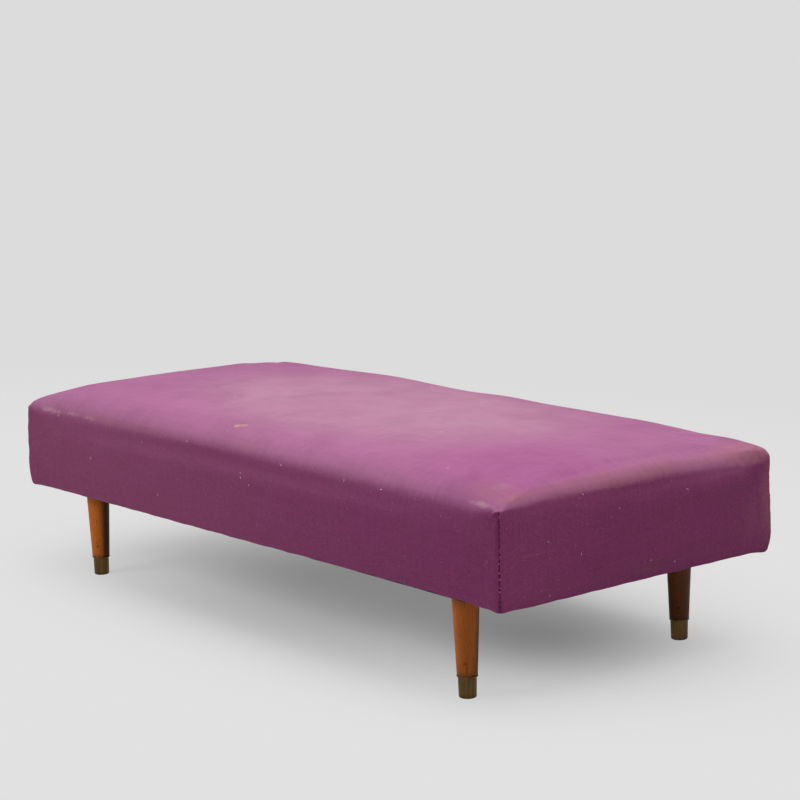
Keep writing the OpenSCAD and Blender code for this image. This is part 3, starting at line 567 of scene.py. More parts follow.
def gradedShares(count, total, first):
    # shares of a straight run whose cells grow evenly from the corner to the middle
    low, high = 1.0, 2.0
    for _ in range(60):
        ratio = (low + high) / 2
        length = sum(first * ratio ** k for k in range(count))
        low, high = (ratio, high) if length < total else (low, ratio)
    steps = np.array([ratio ** k for k in range(count)])
    return np.concatenate([[0.0], np.cumsum(steps) / steps.sum()])


class Grid:
    # cell counts of one skin and the order of its points
    def __init__(self, cellsX, cellsY, arcCells, firstCell):
        self.cellsX, self.cellsY, self.arcCells = cellsX, cellsY, arcCells
        straightX = halfLength - form["topCornerRadius"]
        straightY = halfWidth - form["topCornerRadius"]
        self.sharesX = gradedShares(cellsX // 2 - arcCells, straightX, firstCell)
        self.sharesY = gradedShares(cellsY // 2 - arcCells, straightY, firstCell)
        self.ring = (
            [(i, 0) for i in range(cellsX)]
            + [(cellsX, j) for j in range(cellsY)]
            + [(cellsX - i, cellsY) for i in range(cellsX)]
            + [(0, cellsY - j) for j in range(cellsY)]
        )
        self.inner = [(i, j) for j in range(1, cellsY) for i in range(1, cellsX)]

    def linePlace(self, fold, other, shares, half, radius):
        step = 45.0 / self.arcCells
        angle = np.where(fold == 0, 45 - step * np.minimum(other, self.arcCells), 45 + step * fold)
        arc = half - radius + radius * np.cos(np.radians(angle))
        last = len(shares) - 1
        share = shares[np.clip(fold - self.arcCells, 0, last)]
        return np.where(fold <= self.arcCells, arc, (half - radius) * (1 - share))

    def folds(self, i, j):
        # cells from the nearer end and from the nearer long side
        return np.minimum(i, self.cellsX - i), np.minimum(j, self.cellsY - j)

    def planPlace(self, points, halfX, halfY, radius):
        # places in plan on a rounded rectangle of the given half sizes
        i, j = np.array(points).T
        foldI, foldJ = self.folds(i, j)
        x = self.linePlace(foldI, foldJ, self.sharesX, halfX, radius)
        y = self.linePlace(foldJ, foldI, self.sharesY, halfY, radius)
        return np.sign(i - self.cellsX / 2) * x, np.sign(j - self.cellsY / 2) * y

    def endShare(self, points, blendCells):
        # 0 on the long sides, 1 on the ends, changing over a few cells at each corner
        foldI, foldJ = self.folds(*np.array(points).T)
        long = 0.5 * (1 - smooth(foldI / blendCells))
        end = 1 - 0.5 * (1 - smooth(foldJ / blendCells))
        return np.where(foldJ == 0, long, end)


# Unevenness of the worn piece along its four sides, in metres: places along X or Y, then heights
levelLine = ((-1.0, 1.0), (0.0, 0.0))
shoulderLine = {
    "front": ((-0.87, -0.60, -0.32, -0.13, 0.10, 0.50, 0.77, 0.87),
              (-0.009, -0.009, -0.003, 0.004, 0.001, -0.002, -0.004, -0.001)),
    "right": ((-0.37, -0.28, -0.15, -0.06, 0.05, 0.19, 0.30, 0.37),
              (-0.001, 0.007, 0.006, -0.002, -0.009, -0.012, -0.015, -0.010)),
    "back": levelLine,
    "left": ((-0.37, -0.10), (-0.009, 0.0)),
}
bottomLine = {
    "front": ((-0.87, -0.60, -0.30, 0.0, 0.25, 0.50, 0.70, 0.87),
              (-0.0085, -0.0070, -0.0050, -0.0030, -0.0005, 0.0012, 0.0012, -0.0010)),
    "right": ((-0.37, -0.30, 0.0, 0.30, 0.37), (-0.0015, -0.0050, -0.0050, -0.0060, -0.0085)),
    "back": levelLine,
    "left": ((-0.37, -0.20, 0.37), (-0.0085, -0.0040, -0.0010)),
}


def easedLine(values, line):
    places, heights = line
    cell = np.clip(np.searchsorted(places, values) - 1, 0, len(places) - 2)
    low, high = np.take(places, cell), np.take(places, cell + 1)
    share = smooth((values - low) / (high - low))
    return np.take(heights, cell) * (1 - share) + np.take(heights, cell + 1) * share


def aroundEdge(x, y, lines):
    # the height that belongs to a place near the edge, from the side that it is nearest to
    toEnd = smooth(0.5 + ((halfWidth - np.abs(y)) - (halfLength - np.abs(x))) / 0.03)
    along = np.where(y < 0, easedLine(x, lines["front"]), easedLine(x, lines["back"]))
    across = np.where(x > 0, easedLine(y, lines["right"]), easedLine(y, lines["left"]))
    return along * (1 - toEnd) + across * toEnd


def sideInset(z):
    share = (form["underside"] + form["tuckHeight"] - z) / (form["tuckHeight"] - form["bottomRadius"])
    return form["tuck"] * np.clip(share, 0, 1)


def reachIn(grid, points, worn):
    # how far the shoulder reaches in from the ends and from the long sides
    if not worn:
        return form["reach"], form["reach"]
    x, y = grid.planPlace(points, halfLength, halfWidth, form["topCornerRadius"])
    return form["reachEnd"] + form["reachFar"] * (x > 0) * towardsBack(y), form["reachLong"]


def skinPoints(grid, levels, depth, worn=True):
    # points of one skin: its rings from the bottom up, then the inside of the top
    top = topLevel - (form["topDrop"] if worn else 0.0)
    foot = form["underside"] + form["bottomRadius"]
    start, chamfer, ear = form["underside"] + form["sideHeight"], 0.0, 0.0
    if worn:
        end = grid.endShare(grid.ring, form["blendCells"])
        cornerX, cornerY = grid.planPlace(grid.ring, halfLength, halfWidth, form["cornerRadius"])
        ear = cornerShare(cornerX, cornerY, form["earReach"])
        earRise = np.where((cornerX > 0) & (cornerY > 0), form["earRiseBackRight"], form["earRise"])
        start = start + form["startLong"] * (1 - end) + form["startEnd"] * end + earRise * ear
        chamfer = form["chamferLong"] * (1 - end) + form["chamferEnd"] * end
    reachX, reachY = reachIn(grid, grid.ring, worn)
    rings = []
    for kind, amount in levels:
        outward, rise, insetX, insetY, radius = 1.0, 0.0, 0.0, 0.0, form["cornerRadius"]
        if kind == "hem":
            outward, rise, insetX, insetY = 0.0, -1.0, amount, amount
        elif kind == "round":
            outward, rise = math.cos(math.radians(amount)), -math.sin(math.radians(amount))
            insetX = insetY = form["bottomRadius"] * (1 - outward)
        elif kind == "shoulder":
            outward, rise = math.cos(math.radians(90 * amount)), math.sin(math.radians(90 * amount))
            lean = chamfer * amount + (1 - chamfer) * amount ** 2 if worn else 1 - outward
            lean = lean * (1 - form["earInset"] * ear)
            insetX, insetY = reachX * lean, reachY * lean
            growth = (form["topCornerRadius"] - form["cornerRadius"]) * rise ** 2
            radius += growth * (0.5 if worn else 1.0)
        side = depth * outward
        x, y = grid.planPlace(
            grid.ring, halfLength - insetX - side, halfWidth - insetY - side, radius - side)
        high = start + aroundEdge(x, y, shoulderLine) if worn else np.full(len(x), start)
        if kind == "hem":
            z = np.full(len(x), form["underside"])
        elif kind == "round":
            z = np.full(len(x), foot + form["bottomRadius"] * rise)
        elif kind == "side":
            z = foot + amount * (high - foot)
        else:
            z = high + rise * (top - high)
        if kind in ("side", "round"):
            inset = sideInset(z) if kind == "side" else form["tuck"]
            x, y = x - np.sign(x) * inset, y - np.sign(y) * inset
        z = z - depth * rise
        if rise > 0:
            z = z + rise * topLift(x, y, worn) + rise ** 2 * crownLift(x, y)
        if rise < 0:
            z = z - form["cornerDrop"] * cornerShare(x, y, form["cornerDropReach"])
        rings.append(np.column_stack([x, y, z]))
    reachX, reachY = reachIn(grid, grid.inner, worn)
    x, y = grid.planPlace(grid.inner, halfLength - reachX, halfWidth - reachY, form["topCornerRadius"])
    z = top - depth + topLift(x, y, worn) + crownLift(x, y)
    return np.concatenate(rings + [np.column_stack([x, y, z])])


def ringFaces(count, size):
    # faces between each ring of points and the next
    return [
        (k * size + m, k * size + (m + 1) % size, (k + 1) * size + (m + 1) % size, (k + 1) * size + m)
        for k in range(count - 1) for m in range(size)
    ]


def topFaces(grid, ringStart, innerStart):
    # faces across the top, over the points of one ring and the inner points
    index = {point: ringStart + k for k, point in enumerate(grid.ring)}
    index.update({point: innerStart + k for k, point in enumerate(grid.inner)})
    return [
        (index[(i, j)], index[(i + 1, j)], index[(i + 1, j + 1)], index[(i, j + 1)])
        for j in range(grid.cellsY) for i in range(grid.cellsX)
    ]


def skinFaces(grid, count):
    size = len(grid.ring)
    return ringFaces(count, size) + topFaces(grid, (count - 1) * size, count * size)


def shadeSmooth(mesh):
    mesh.polygons.foreach_set("use_smooth", [True] * len(mesh.polygons))


def meshObject(name, points, faces, material, soft=True):
    mesh = bpy.data.meshes.new(name)
    mesh.from_pydata([tuple(p) for p in points], [], faces)
    mesh.update()
    mesh.materials.append(material)
    if soft:
        shadeSmooth(mesh)
    return addObject(name, mesh)


def addObject(name, data):
    made = bpy.data.objects.new(name, data)
    bpy.context.scene.collection.objects.link(made)
    return made


def addLengths(piece, grid, count):
    # UV map in metres of cloth: the top as it lies, the sides hanging on from its edges
    mesh = piece.data
    size = len(grid.ring)
    points = np.array([v.co for v in mesh.vertices])
    rings = points[: count * size].reshape(count, size, 3)
    fall = np.zeros((count, size))
    for k in range(count - 2, -1, -1):
        fall[k] = fall[k + 1] + np.linalg.norm(rings[k] - rings[k + 1], axis=1)
    along = np.zeros((4, count, size))
    starts = [0, grid.cellsX, grid.cellsX + grid.cellsY, 2 * grid.cellsX + grid.cellsY, size]
    runs = []
    for side in range(4):
        index = np.arange(starts[side], starts[side + 1] + 1) % size
        run = rings[:, index]
        step = np.linalg.norm(np.diff(run, axis=1), axis=2)
        length = np.concatenate([np.zeros((count, 1)), np.cumsum(step, axis=1)], axis=1)
        runs.append({int(m): length[:, k] - length[:, -1] / 2 for k, m in enumerate(index)})
    layer = mesh.uv_layers.new(name="clothLength")
    corner = 0
    values = np.zeros((len(mesh.loops), 2))
    edge = rings[count - 1]
    for face, polygon in enumerate(mesh.polygons):
        ringFace = face < (count - 1) * size
        side = 0
        if ringFace:
            m = face % size
            side = int(np.searchsorted(starts, m, side="right")) - 1
        for vertex in polygon.vertices:
            if ringFace:
                k, m = divmod(vertex, size)
                length = runs[side][m][k]
                drop = fall[k][m]
                values[corner] = [
                    (length, -halfWidth - drop), (halfLength + drop, length),
                    (-length, halfWidth + drop), (-halfLength - drop, -length),
                ][side]
            else:
                values[corner] = points[vertex][:2]
            corner += 1
    layer.data.foreach_set("uv", values.ravel())


def applyModifiers(piece):
    # writes the evaluated mesh back, so that no modifier is left
    graph = bpy.context.evaluated_depsgraph_get()
    evaluated = piece.evaluated_get(graph)
    mesh = bpy.data.meshes.new_from_object(evaluated, preserve_all_data_layers=True, depsgraph=graph)
    piece.modifiers.clear()
    piece.data = mesh


def thicken(piece, thickness):
    # gives a sheet its thickness on the side away from its faces' fronts
    solid = piece.modifiers.new("thickness", "SOLIDIFY")
    solid.thickness = thickness
    solid.offset = -1
    applyModifiers(piece)
    shadeSmooth(piece.data)


def standFor(piece, slot, *nodes):
    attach(piece, "root")
    if nodes:
        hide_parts(*nodes)
    return piece


def meshArrays(piece):
    mesh = piece.data
    points = np.zeros(len(mesh.vertices) * 3)
    normals = np.zeros(len(mesh.vertices) * 3)
    mesh.vertices.foreach_get("co", points)
    mesh.vertex_normals.foreach_get("vector", normals)
    return points.reshape(-1, 3), normals.reshape(-1, 3)


def setPoints(piece, points):
    piece.data.vertices.foreach_set("co", np.ascontiguousarray(points).ravel())
    piece.data.update()


# The cover

cover = {
    "cellsX": 108, "cellsY": 52, "arcCells": 4, "firstCell": 0.006, "sideCells": 9,
    # how far the cloth may move out in its simulation, where it starts, and the rings held still
    "frames": 20, "most": 0.0035, "start": 0.0015, "heldRings": 5, "seamRings": 16,
    "cloth": {
        "quality": 4, "mass": 0.4, "tension_stiffness": 25, "compression_stiffness": 12,
        "shear_stiffness": 12, "bending_stiffness": 1.5, "use_pressure": True,
        "uniform_pressure_force": 4.0, "vertex_group_mass": "held",
    },
    # distances over which it gets free of its bottom edge and its seams, and the seams' upper part
    "freeBelow": (0.006, 0.05), "freeBeside": (0.008, 0.09), "freeAbove": 0.03, "freeCorner": 0.5,
    # how high the worn bottom edge reaches, and how far in under the frame
    "hemRise": 0.06, "hemIn": (0.011, 0.009),
    "lump": 0.0006, "hemRipple": 0.0006, "hemRippleWidth": 0.008, "foldTaper": 0.7,
}
coverGrid = Grid(cover["cellsX"], cover["cellsY"], cover["arcCells"], cover["firstCell"])
coverLevels = (
    [("hem", form["hemWidth"]), ("hem", form["hemStep"])]
    + [("round", angle) for angle in (90, 60, 30, 0)]
    + [("side", k / cover["sideCells"]) for k in range(1, cover["sideCells"] + 1)]
    + [("shoulder", k / cover["sideCells"]) for k in range(1, cover["sideCells"] + 1)]
)
# Local moves of the cover: centre, reach, shift, all in metres
coverMoves = [
    ((-0.875, -0.372, 0.320), (0.10, 0.20, 0.110), (-0.0065, -0.0030, 0.0)),
    ((-0.870, -0.365, 0.235), (0.12, 0.20, 0.060), (-0.0080, -0.0050, 0.0)),
    ((-0.860, -0.360, 0.440), (0.07, 0.07, 0.060), (0.0, 0.0, -0.0015)),
    ((-0.260, 0.300, 0.450), (0.22, 0.20, 0.060), (0.0, 0.0, 0.0035)),
    ((0.140, 0.300, 0.450), (0.14, 0.20, 0.060), (0.0, 0.0, 0.0030)),
    ((0.580, 0.300, 0.450), (0.14, 0.20, 0.060), (0.0, 0.0, 0.0025)),
    ((-0.875, 0.360, 0.440), (0.10, 0.10, 0.060), (0.0, 0.0, 0.0045)),
    ((0.870, 0.235, 0.430), (0.085, 0.16, 0.060), (0.0, 0.0, -0.0065)),
    ((-0.860, 0.340, 0.440), (0.30, 0.25, 0.060), (0.0, 0.0, 0.0035)),
    ((-0.450, 0.330, 0.450), (0.55, 0.18, 0.060), (0.0, 0.0, 0.0035)),
    ((0.400, 0.330, 0.450), (0.60, 0.18, 0.060), (0.0, 0.0, 0.0015)),
    ((0.860, 0.360, 0.435), (0.20, 0.16, 0.060), (0.0, 0.0, 0.007)),
    ((0.875, 0.372, 0.420), (0.05, 0.05, 0.050), (0.0020, 0.0020, 0.003)),
    ((0.875, 0.372, 0.300), (0.06, 0.07, 0.060), (0.0020, 0.0020, 0.0)),
    ((0.875, 0.372, 0.240), (0.06, 0.07, 0.050), (0.0048, 0.0040, 0.0)),
    ((0.875, -0.372, 0.215), (0.05, 0.05, 0.050), (-0.0005, -0.0020, 0.0)),
]
# Small folds beside the seams: two ends, width and height
coverFolds = [
    ((0.870, -0.371, 0.411), (0.847, -0.373, 0.392), 0.0032, 0.0034),
    ((0.864, -0.373, 0.396), (0.850, -0.373, 0.376), 0.0050, -0.0020),
    ((0.874, -0.366, 0.404), (0.875, -0.325, 0.392), 0.0030, 0.0016),
    ((-0.872, -0.371, 0.404), (-0.850, -0.373, 0.380), 0.0050, 0.0012),
    ((0.874, 0.366, 0.410), (0.875, 0.338, 0.388), 0.0050, 0.0014),
    ((-0.874, 0.366, 0.408), (-0.875, 0.340, 0.390), 0.0050, 0.0012),
]
seam = {
    "depth": 0.0016, "width": 0.0022, "pucker": 0.0005, "puckerWidth": 0.009,
    "pitch": 0.013, "stitch": 0.0090, "slant": 14.0, "thread": 0.0010, "count": 14,
    # how unevenly the stitches lie, how deep their ends dive in, and how far the middle stands out
    "jitter": 0.0006, "dive": 0.0022, "raised": 0.0002, "twist": 3500.0, "ripple": 0.10,
}


def moveLocally(points, moves):
    for centre, reach, shift in moves:
        away = np.linalg.norm((points - np.array(centre)) / np.array(reach), axis=1)
        points = points + (1 - smooth(away))[:, None] * np.array(shift)
    return points


def seamShare(points):
    # 0 at the corner seams and the bottom edge, 1 on the open cloth
    x, y, z = points.T
    away = np.hypot(halfLength - np.abs(x), halfWidth - np.abs(y))
    below = smooth((z - form["underside"] - cover["freeBelow"][0]) / cover["freeBelow"][1])
    beside = smooth((away - cover["freeBeside"][0]) / cover["freeBeside"][1])
    upper = smooth((z - form["underside"] - form["sideHeight"]) / cover["freeAbove"])
    return below * (beside + (1 - beside) * upper * cover["freeCorner"])


def inflate(piece, held):
    # cloth simulation with pressure; each point may move outwards by a set amount at most
    base, normals = meshArrays(piece)
    free = seamShare(base)
    setPoints(piece, base - normals * (cover["start"] * free)[:, None])
    group = piece.vertex_groups.new(name="held")
    group.add(held, 1.0, "REPLACE")
    cloth = piece.modifiers.new("cloth", "CLOTH")
    for key, value in cover["cloth"].items():
        setattr(cloth.settings, key, value)
    cloth.settings.effector_weights.gravity = 0
    cloth.collision_settings.use_collision = False
    cloth.point_cache.frame_start = 1
    cloth.point_cache.frame_end = cover["frames"]
    scene = bpy.context.scene
    for number in range(1, cover["frames"] + 1):
        scene.frame_set(number)
    graph = bpy.context.evaluated_depsgraph_get()
    evaluated = piece.evaluated_get(graph).to_mesh()
    moved = np.zeros(len(base) * 3)
    evaluated.vertices.foreach_get("co", moved)
    piece.modifiers.remove(cloth)
    scene.frame_set(1)
    outward = np.einsum("ij,ij->i", moved.reshape(-1, 3) - base, normals)
    print("  cloth moved", round(float(outward.min()), 4), "to", round(float(outward.max()), 4))
    outward = cover["most"] * np.tanh(outward / cover["most"]) * free
    setPoints(piece, base + normals * outward[:, None])


def bottomWear(points):
    # the bottom edge hangs a little lower in some places than in others
    x, y, z = points.T
    inset = np.minimum(halfLength - np.abs(x), halfWidth - np.abs(y))
    low = 1 - smooth((z - form["underside"]) / cover["hemRise"])
    outer = 1 - smooth((inset - cover["hemIn"][0]) / cover["hemIn"][1])
    points[:, 2] += aroundEdge(x, y, bottomLine) * (low * outer)
    return points


def makeCover():
    count = len(coverLevels)
    points = skinPoints(coverGrid, coverLevels, 0.0)
    piece = meshObject("coverCloth", points, skinFaces(coverGrid, count), makeWool())
    addLengths(piece, coverGrid, count)
    size = len(coverGrid.ring)
    held = set(range(cover["heldRings"] * size))
    for corner in itertools.product((0, coverGrid.cellsX), (0, coverGrid.cellsY)):
        held.update(range(coverGrid.ring.index(corner), cover["seamRings"] * size, size))
    inflate(piece, sorted(held))
    points, _ = meshArrays(piece)
    setPoints(piece, bottomWear(moveLocally(points, coverMoves)))
    finer = piece.modifiers.new("finer", "SUBSURF")
    finer.levels = finer.render_levels = 1
    applyModifiers(piece)
    addRelief(piece)
    return piece


def segmentAway(points, first, second):
    first, second = np.array(first), np.array(second)
    line = second - first
    share = np.clip((points - first) @ line / (line @ line), 0, 1)
    return np.linalg.norm(points - first - share[:, None] * line, axis=1), share


def addRelief(piece):
    # seam grooves with puckers at the stitches, folds at their tops, soft lumps and a worn hem
    points, normals = meshArrays(piece)
    shift = np.zeros(len(points))
    low = form["underside"] + 0.004
    high = form["underside"] + form["sideHeight"] + 0.006
    for sideX, sideY in corners.values():
        centreX = sideX * (halfLength - form["cornerRadius"])
        centreY = sideY * (halfWidth - form["cornerRadius"])
        near = (points[:, 0] * sideX > halfLength - 0.05) & (points[:, 1] * sideY > halfWidth - 0.05)
        across = ((points[:, 0] - centreX) * sideX - (points[:, 1] - centreY) * sideY) / math.sqrt(2)
        z = points[:, 2]
        upright = smooth((z - low + 0.006) / 0.01) * (1 - smooth((z - high) / 0.012))
        groove = -seam["depth"] * np.exp(-(across / seam["width"]) ** 2)
        wave = np.cos(2 * np.pi * (z - form["underside"]) / seam["pitch"] + sideX)
        puckers = seam["pucker"] * wave * np.exp(-(across / seam["puckerWidth"]) ** 2)
        shift += np.where(near, (groove + puckers) * upright, 0)
    for first, second, width, height in coverFolds:
        away, share = segmentAway(points, first, second)
        shift += height * np.exp(-(away / width) ** 2) * (1 - cover["foldTaper"] * share)
    x, y, z = points.T
    lumps = np.sin(9.1 * x + 3 * y) * np.sin(13.0 * y + 2.1 * x + 1.0)
    lumps = lumps + 0.6 * np.sin(23.0 * x + 1.3) * np.sin(19.0 * y + 14.0 * z)
    shift += cover["lump"] * lumps * smooth((z - form["underside"] - 0.02) / 0.03)
    hem = np.exp(-((z - form["underside"] - 0.002) / cover["hemRippleWidth"]) ** 2)
    ripple = np.sin(61.0 * x + 2) + np.sin(67.0 * y + 1) + 0.5 * np.sin(143.0 * (x + y))
    shift += cover["hemRipple"] * hem * ripple
    setPoints(piece, points + normals * shift[:, None])


coverPiece = makeCover()
coverShape = BVHTree.FromObject(coverPiece, bpy.context.evaluated_depsgraph_get())
thicken(coverPiece, form["clothThickness"])
standFor(coverPiece, "wool_cover", "cover")
print("cover ready:", len(coverPiece.data.polygons), "faces")


def onCover(origin, direction):
    # place and normal where a straight line from outside meets the cover
    place, normal, _, _ = coverShape.ray_cast(Vector(origin), Vector(direction))
    return place, normal


def sinkUnder(points, depth):
    # moves points inwards until they lie at least this deep under the cover
    moved = []
    for point in points:
        place, normal, _, _ = coverShape.find_nearest(Vector(point))
        inside = (place - Vector(point)).dot(normal)
        moved.append(Vector(point) - normal * max(0.0, depth - inside))
    return np.array(moved)


# Tubes along a route, for threads, cords, lint and springs

def tubeFaces(count, size):
    last = (count - 1) * size
    caps = [tuple(reversed(range(size))), tuple(last + s for s in range(size))]
    return ringFaces(count, size) + caps


def tubeMesh(route, radius, sides, twist=0.0, ripple=0.0, strands=3):
    # points and faces of one tube; with a ripple its section shows twisted strands
    route = np.asarray(route, float)
    tangent = np.gradient(route, axis=0)
    tangent /= np.linalg.norm(tangent, axis=1)[:, None]
    side = np.cross(tangent[0], (0.0, 0.0, 1.0))
    if np.linalg.norm(side) < 0.1:
        side = np.cross(tangent[0], (1.0, 0.0, 0.0))
    sizes = np.broadcast_to(radius, len(route))
    points, length = [], 0.0
    for k, centre in enumerate(route):
        side = side - tangent[k] * (side @ tangent[k])
        side /= np.linalg.norm(side)
        other = np.cross(tangent[k], side)
        if k:
            length += np.linalg.norm(centre - route[k - 1])
        for s in range(sides):
            angle = 2 * math.pi * s / sides
            size = sizes[k] * (1 + ripple * math.cos(strands * angle - twist * length))
            points.append(centre + size * (math.cos(angle) * side + math.sin(angle) * other))
    return points, tubeFaces(len(route), sides)


def joinMeshes(parts):
    points, faces = [], []
    for partPoints, partFaces in parts:
        offset = len(points)
        points.extend(partPoints)
        faces.extend(tuple(offset + v for v in face) for face in partFaces)
    return points, faces


def addPiece(name, parts, material, slot, *nodes):
    points, faces = joinMeshes(parts)
    return standFor(meshObject(name, points, faces, material), slot, *nodes)


def smoothRoute(points, steps):
    # rounds a route by repeated corner cutting
    points = np.asarray(points, float)
    for _ in range(steps):
        first, last = points[0], points[-1]
        near = 0.75 * points[:-1] + 0.25 * points[1:]
        far = 0.25 * points[:-1] + 0.75 * points[1:]
        points = np.concatenate([[first], np.stack([near, far], 1).reshape(-1, 3), [last]])
    return points


def makeSeam(corner, sideX, sideY):
    # slanting stitches over the closed corner, each diving into the cloth at both ends
    parts = []
    first = form["underside"] + form["bottomRadius"] + seam["stitch"] / 2
    slope = math.tan(math.radians(seam["slant"]))
    inward = Vector((-sideX, -sideY, 0.0)).normalized()
    aside = Vector((sideX, -sideY, 0.0)).normalized()
    outside = Vector((sideX * (halfLength + 0.03), sideY * (halfWidth + 0.03), 0.0))
    shares = np.linspace(-1, 1, 9)
    for k in range(seam["count"]):
        jitter = seam["jitter"] * math.sin(12.9 * k + 3 * sideX + 5 * sideY)
        middle = first + (k + 0.5) * seam["pitch"] + jitter
        route = []
        for t in shares:
            reach = t * seam["stitch"] / 2
            origin = outside + Vector((0.0, 0.0, middle + reach)) + aside * (slope * reach + jitter)
            place, _ = onCover(origin, inward)
            route.append(place + inward * (seam["dive"] * t ** 4 - seam["raised"]))
        radius = [seam["thread"] * (0.75 + 0.25 * math.cos(math.pi * t / 2)) for t in shares]
        parts.append(tubeMesh(route, radius, 10, seam["twist"], seam["ripple"], 2))
    material = materials["seamThread"]
    addPiece("seamThread_" + corner, parts, material, "seam_thread", "stitches_" + corner)


for corner, (sideX, sideY) in corners.items():
    makeSeam(corner, sideX, sideY)
print("corner seams ready")


# Lint and loose fibres on the cloth

lint = {"radius": 0.0006, "length": 0.0042, "scattered": 26, "atSeam": 0.35}
# Places on the front (x, z) and on the right end (y, z)
lintFront = [
    (-0.3506, 0.3811), (-0.2843, 0.2690), (-0.5726, 0.3137), (0.0446, 0.3655), (0.0470, 0.3560),
    (0.0788, 0.3444), (0.1885, 0.4020), (0.4041, 0.4010), (0.5234, 0.4000), (-0.1661, 0.4060),
    (-0.7300, 0.3950),
]
lintEnd = [
    (-0.2528, 0.3350), (-0.1687, 0.2974), (-0.0672, 0.3697), (-0.2450, 0.2290), (0.0880, 0.2370),
    (0.1229, 0.3778), (-0.1562, 0.4100), (0.0200, 0.2520),
]
# Heights of the pale thread ends on the near right seam
lintSeam = [0.3247, 0.3116, 0.2938, 0.2810, 0.2656, 0.2580, 0.2487, 0.2337]


def lintRoute(place, normal, angle, length, turn):
    # a short bent fibre that lies on the cloth
    normal = Vector(normal).normalized()
    side = normal.orthogonal().normalized()
    other = normal.cross(side)
    route = []
    for t in np.linspace(-0.5, 0.5, 7):
        bend = turn * t * t
        along = side * math.cos(angle + bend) + other * math.sin(angle + bend)
        lift = normal * (0.0003 + 0.0004 * math.cos(math.pi * t))
        route.append(tuple(place + along * length * t + lift))
    return route


def lintRays():
    # lines that meet the cover where a fibre lies, each with its share of the usual length, if set
    rays = [((x, -1.0, z), (0, 1, 0), None) for x, z in lintFront]
    rays += [((1.5, y, z), (-1, 0, 0), None) for y, z in lintEnd]
    for k, z in enumerate(lintSeam):
        aside = 0.0008 * math.sin(5.0 * k)
        origin = (halfLength + 0.05 + aside, -halfWidth - 0.05 + aside, z)
        rays.append((origin, Vector((-1, 1, 0)).normalized(), lint["atSeam"]))
    for k in range(lint["scattered"]):
        a, b = math.modf(0.618034 * (k + 1))[0], math.modf(0.754878 * (k + 1))[0]
        x, y, z = halfLength * (1.9 * a - 0.95), halfWidth * (1.9 * b - 0.95), 0.24 + 0.15 * b
        origin, direction = (
            ((x, y, 1.0), (0, 0, -1)), ((x, 1.0, z), (0, -1, 0)), ((-1.5, y, z), (1, 0, 0)),
        )[k % 3]
        rays.append((origin, direction, None))
    return rays


def makeLint():
    parts = []
    for k, (origin, direction, share) in enumerate(lintRays()):
        place, normal = onCover(origin, direction)
        length = lint["length"] * (share or 0.6 + 0.8 * math.modf(0.618034 * k)[0])
        route = lintRoute(place, normal, 1.9 * k, length, 2.0 * math.sin(3.1 * k))
        parts.append(tubeMesh(route, lint["radius"] * (0.7 + 0.5 * math.modf(0.37 * k)[0]), 6))
    addPiece("lintFibres", parts, materials["lint"], "wool_cover")


makeLint()
print("lint ready")


# Soft layers under the cover

softGrid = Grid(60, 32, 3, 0.012)
softShoulder = [("shoulder", share) for share in (0.25, 0.5, 0.75, 1.0)]
# gap to the layer outside it, least depths under the cover, and lowest level or lift of the underside
wadding = {"gap": 0.0012, "outerUnder": 0.0021, "innerUnder": 0.0046, "lowest": 0.012}
pad = {"gap": 0.0002, "under": 0.0050, "lift": 0.0003, "lump": 0.0006, "lumpStart": 0.03}


def makeWadding():
    levels = [("side", share) for share in (0.03, 0.25, 0.45, 0.65, 0.85, 1.0)] + softShoulder
    thickness = form["clothThickness"] + form["softGap"] + form["waddingThickness"]
    outer = skinPoints(softGrid, levels, form["clothThickness"] + wadding["gap"])
    outer = sinkUnder(outer, wadding["outerUnder"])
    inner = sinkUnder(skinPoints(softGrid, levels, thickness, worn=False), wadding["innerUnder"])
    points = np.concatenate([outer, inner])
    points[:, 2] = np.maximum(points[:, 2], form["underside"] + wadding["lowest"])
    faces = skinFaces(softGrid, len(levels))
    size, total = len(softGrid.ring), len(outer)
    rim = [(m, total + m, total + (m + 1) % size, (m + 1) % size) for m in range(size)]
    flipped = [tuple(total + v for v in reversed(face)) for face in faces]
    mesh = (points, faces + flipped + rim)
    piece = addPiece("waddingLayer", [mesh], materials["cottonWadding"], "wadding", "wadding")


def makeStuffing():
    levels = [("side", 1.0)] + softShoulder
    skin = skinPoints(softGrid, levels, form["frameInset"] + pad["gap"], worn=False)
    skin = sinkUnder(skin, pad["under"])
    size = len(softGrid.ring)
    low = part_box("stuffing")[0][2]
    foot, under = skin[:size].copy(), skin[len(levels) * size:].copy()
    foot[:, 2] = under[:, 2] = low + pad["lift"]
    points = np.concatenate([foot, skin, under])
    x, y, z = points.T
    lumps = np.sin(41 * x + 2) * np.sin(47 * y) + np.sin(83 * x) * 0.4
    points[:, 2] -= pad["lump"] * (1.4 + lumps) * (z > low + pad["lumpStart"])
    bottom = [face[::-1] for face in topFaces(softGrid, 0, size + len(skin))]
    faces = skinFaces(softGrid, len(levels) + 1) + bottom
    piece = addPiece("hairPad", [(points, faces)], materials["hairStuffing"], "stuffing", "stuffing")


def placeAlong(axis, along, across, z):
    # a place whose first measure runs along X for axis 0 and along Y for axis 1
    return (along, across, z) if axis == 0 else (across, along, z)


def roundedOutline(halfX, halfY, radius, cells):
    # a rectangle with round corners of so many cells, round its middle
    points = []
    for quarter, (sx, sy) in enumerate(((1, 1), (-1, 1), (-1, -1), (1, -1))):
        for k in range(cells + 1):
            angle = math.radians(90 * quarter + 90 / cells * k)
            points.append((sx * (halfX - radius) + radius * math.cos(angle),
                           sy * (halfY - radius) + radius * math.sin(angle)))
    return points


rolls = {"radius": 0.0098, "cell": 0.012, "tightening": 0.045}


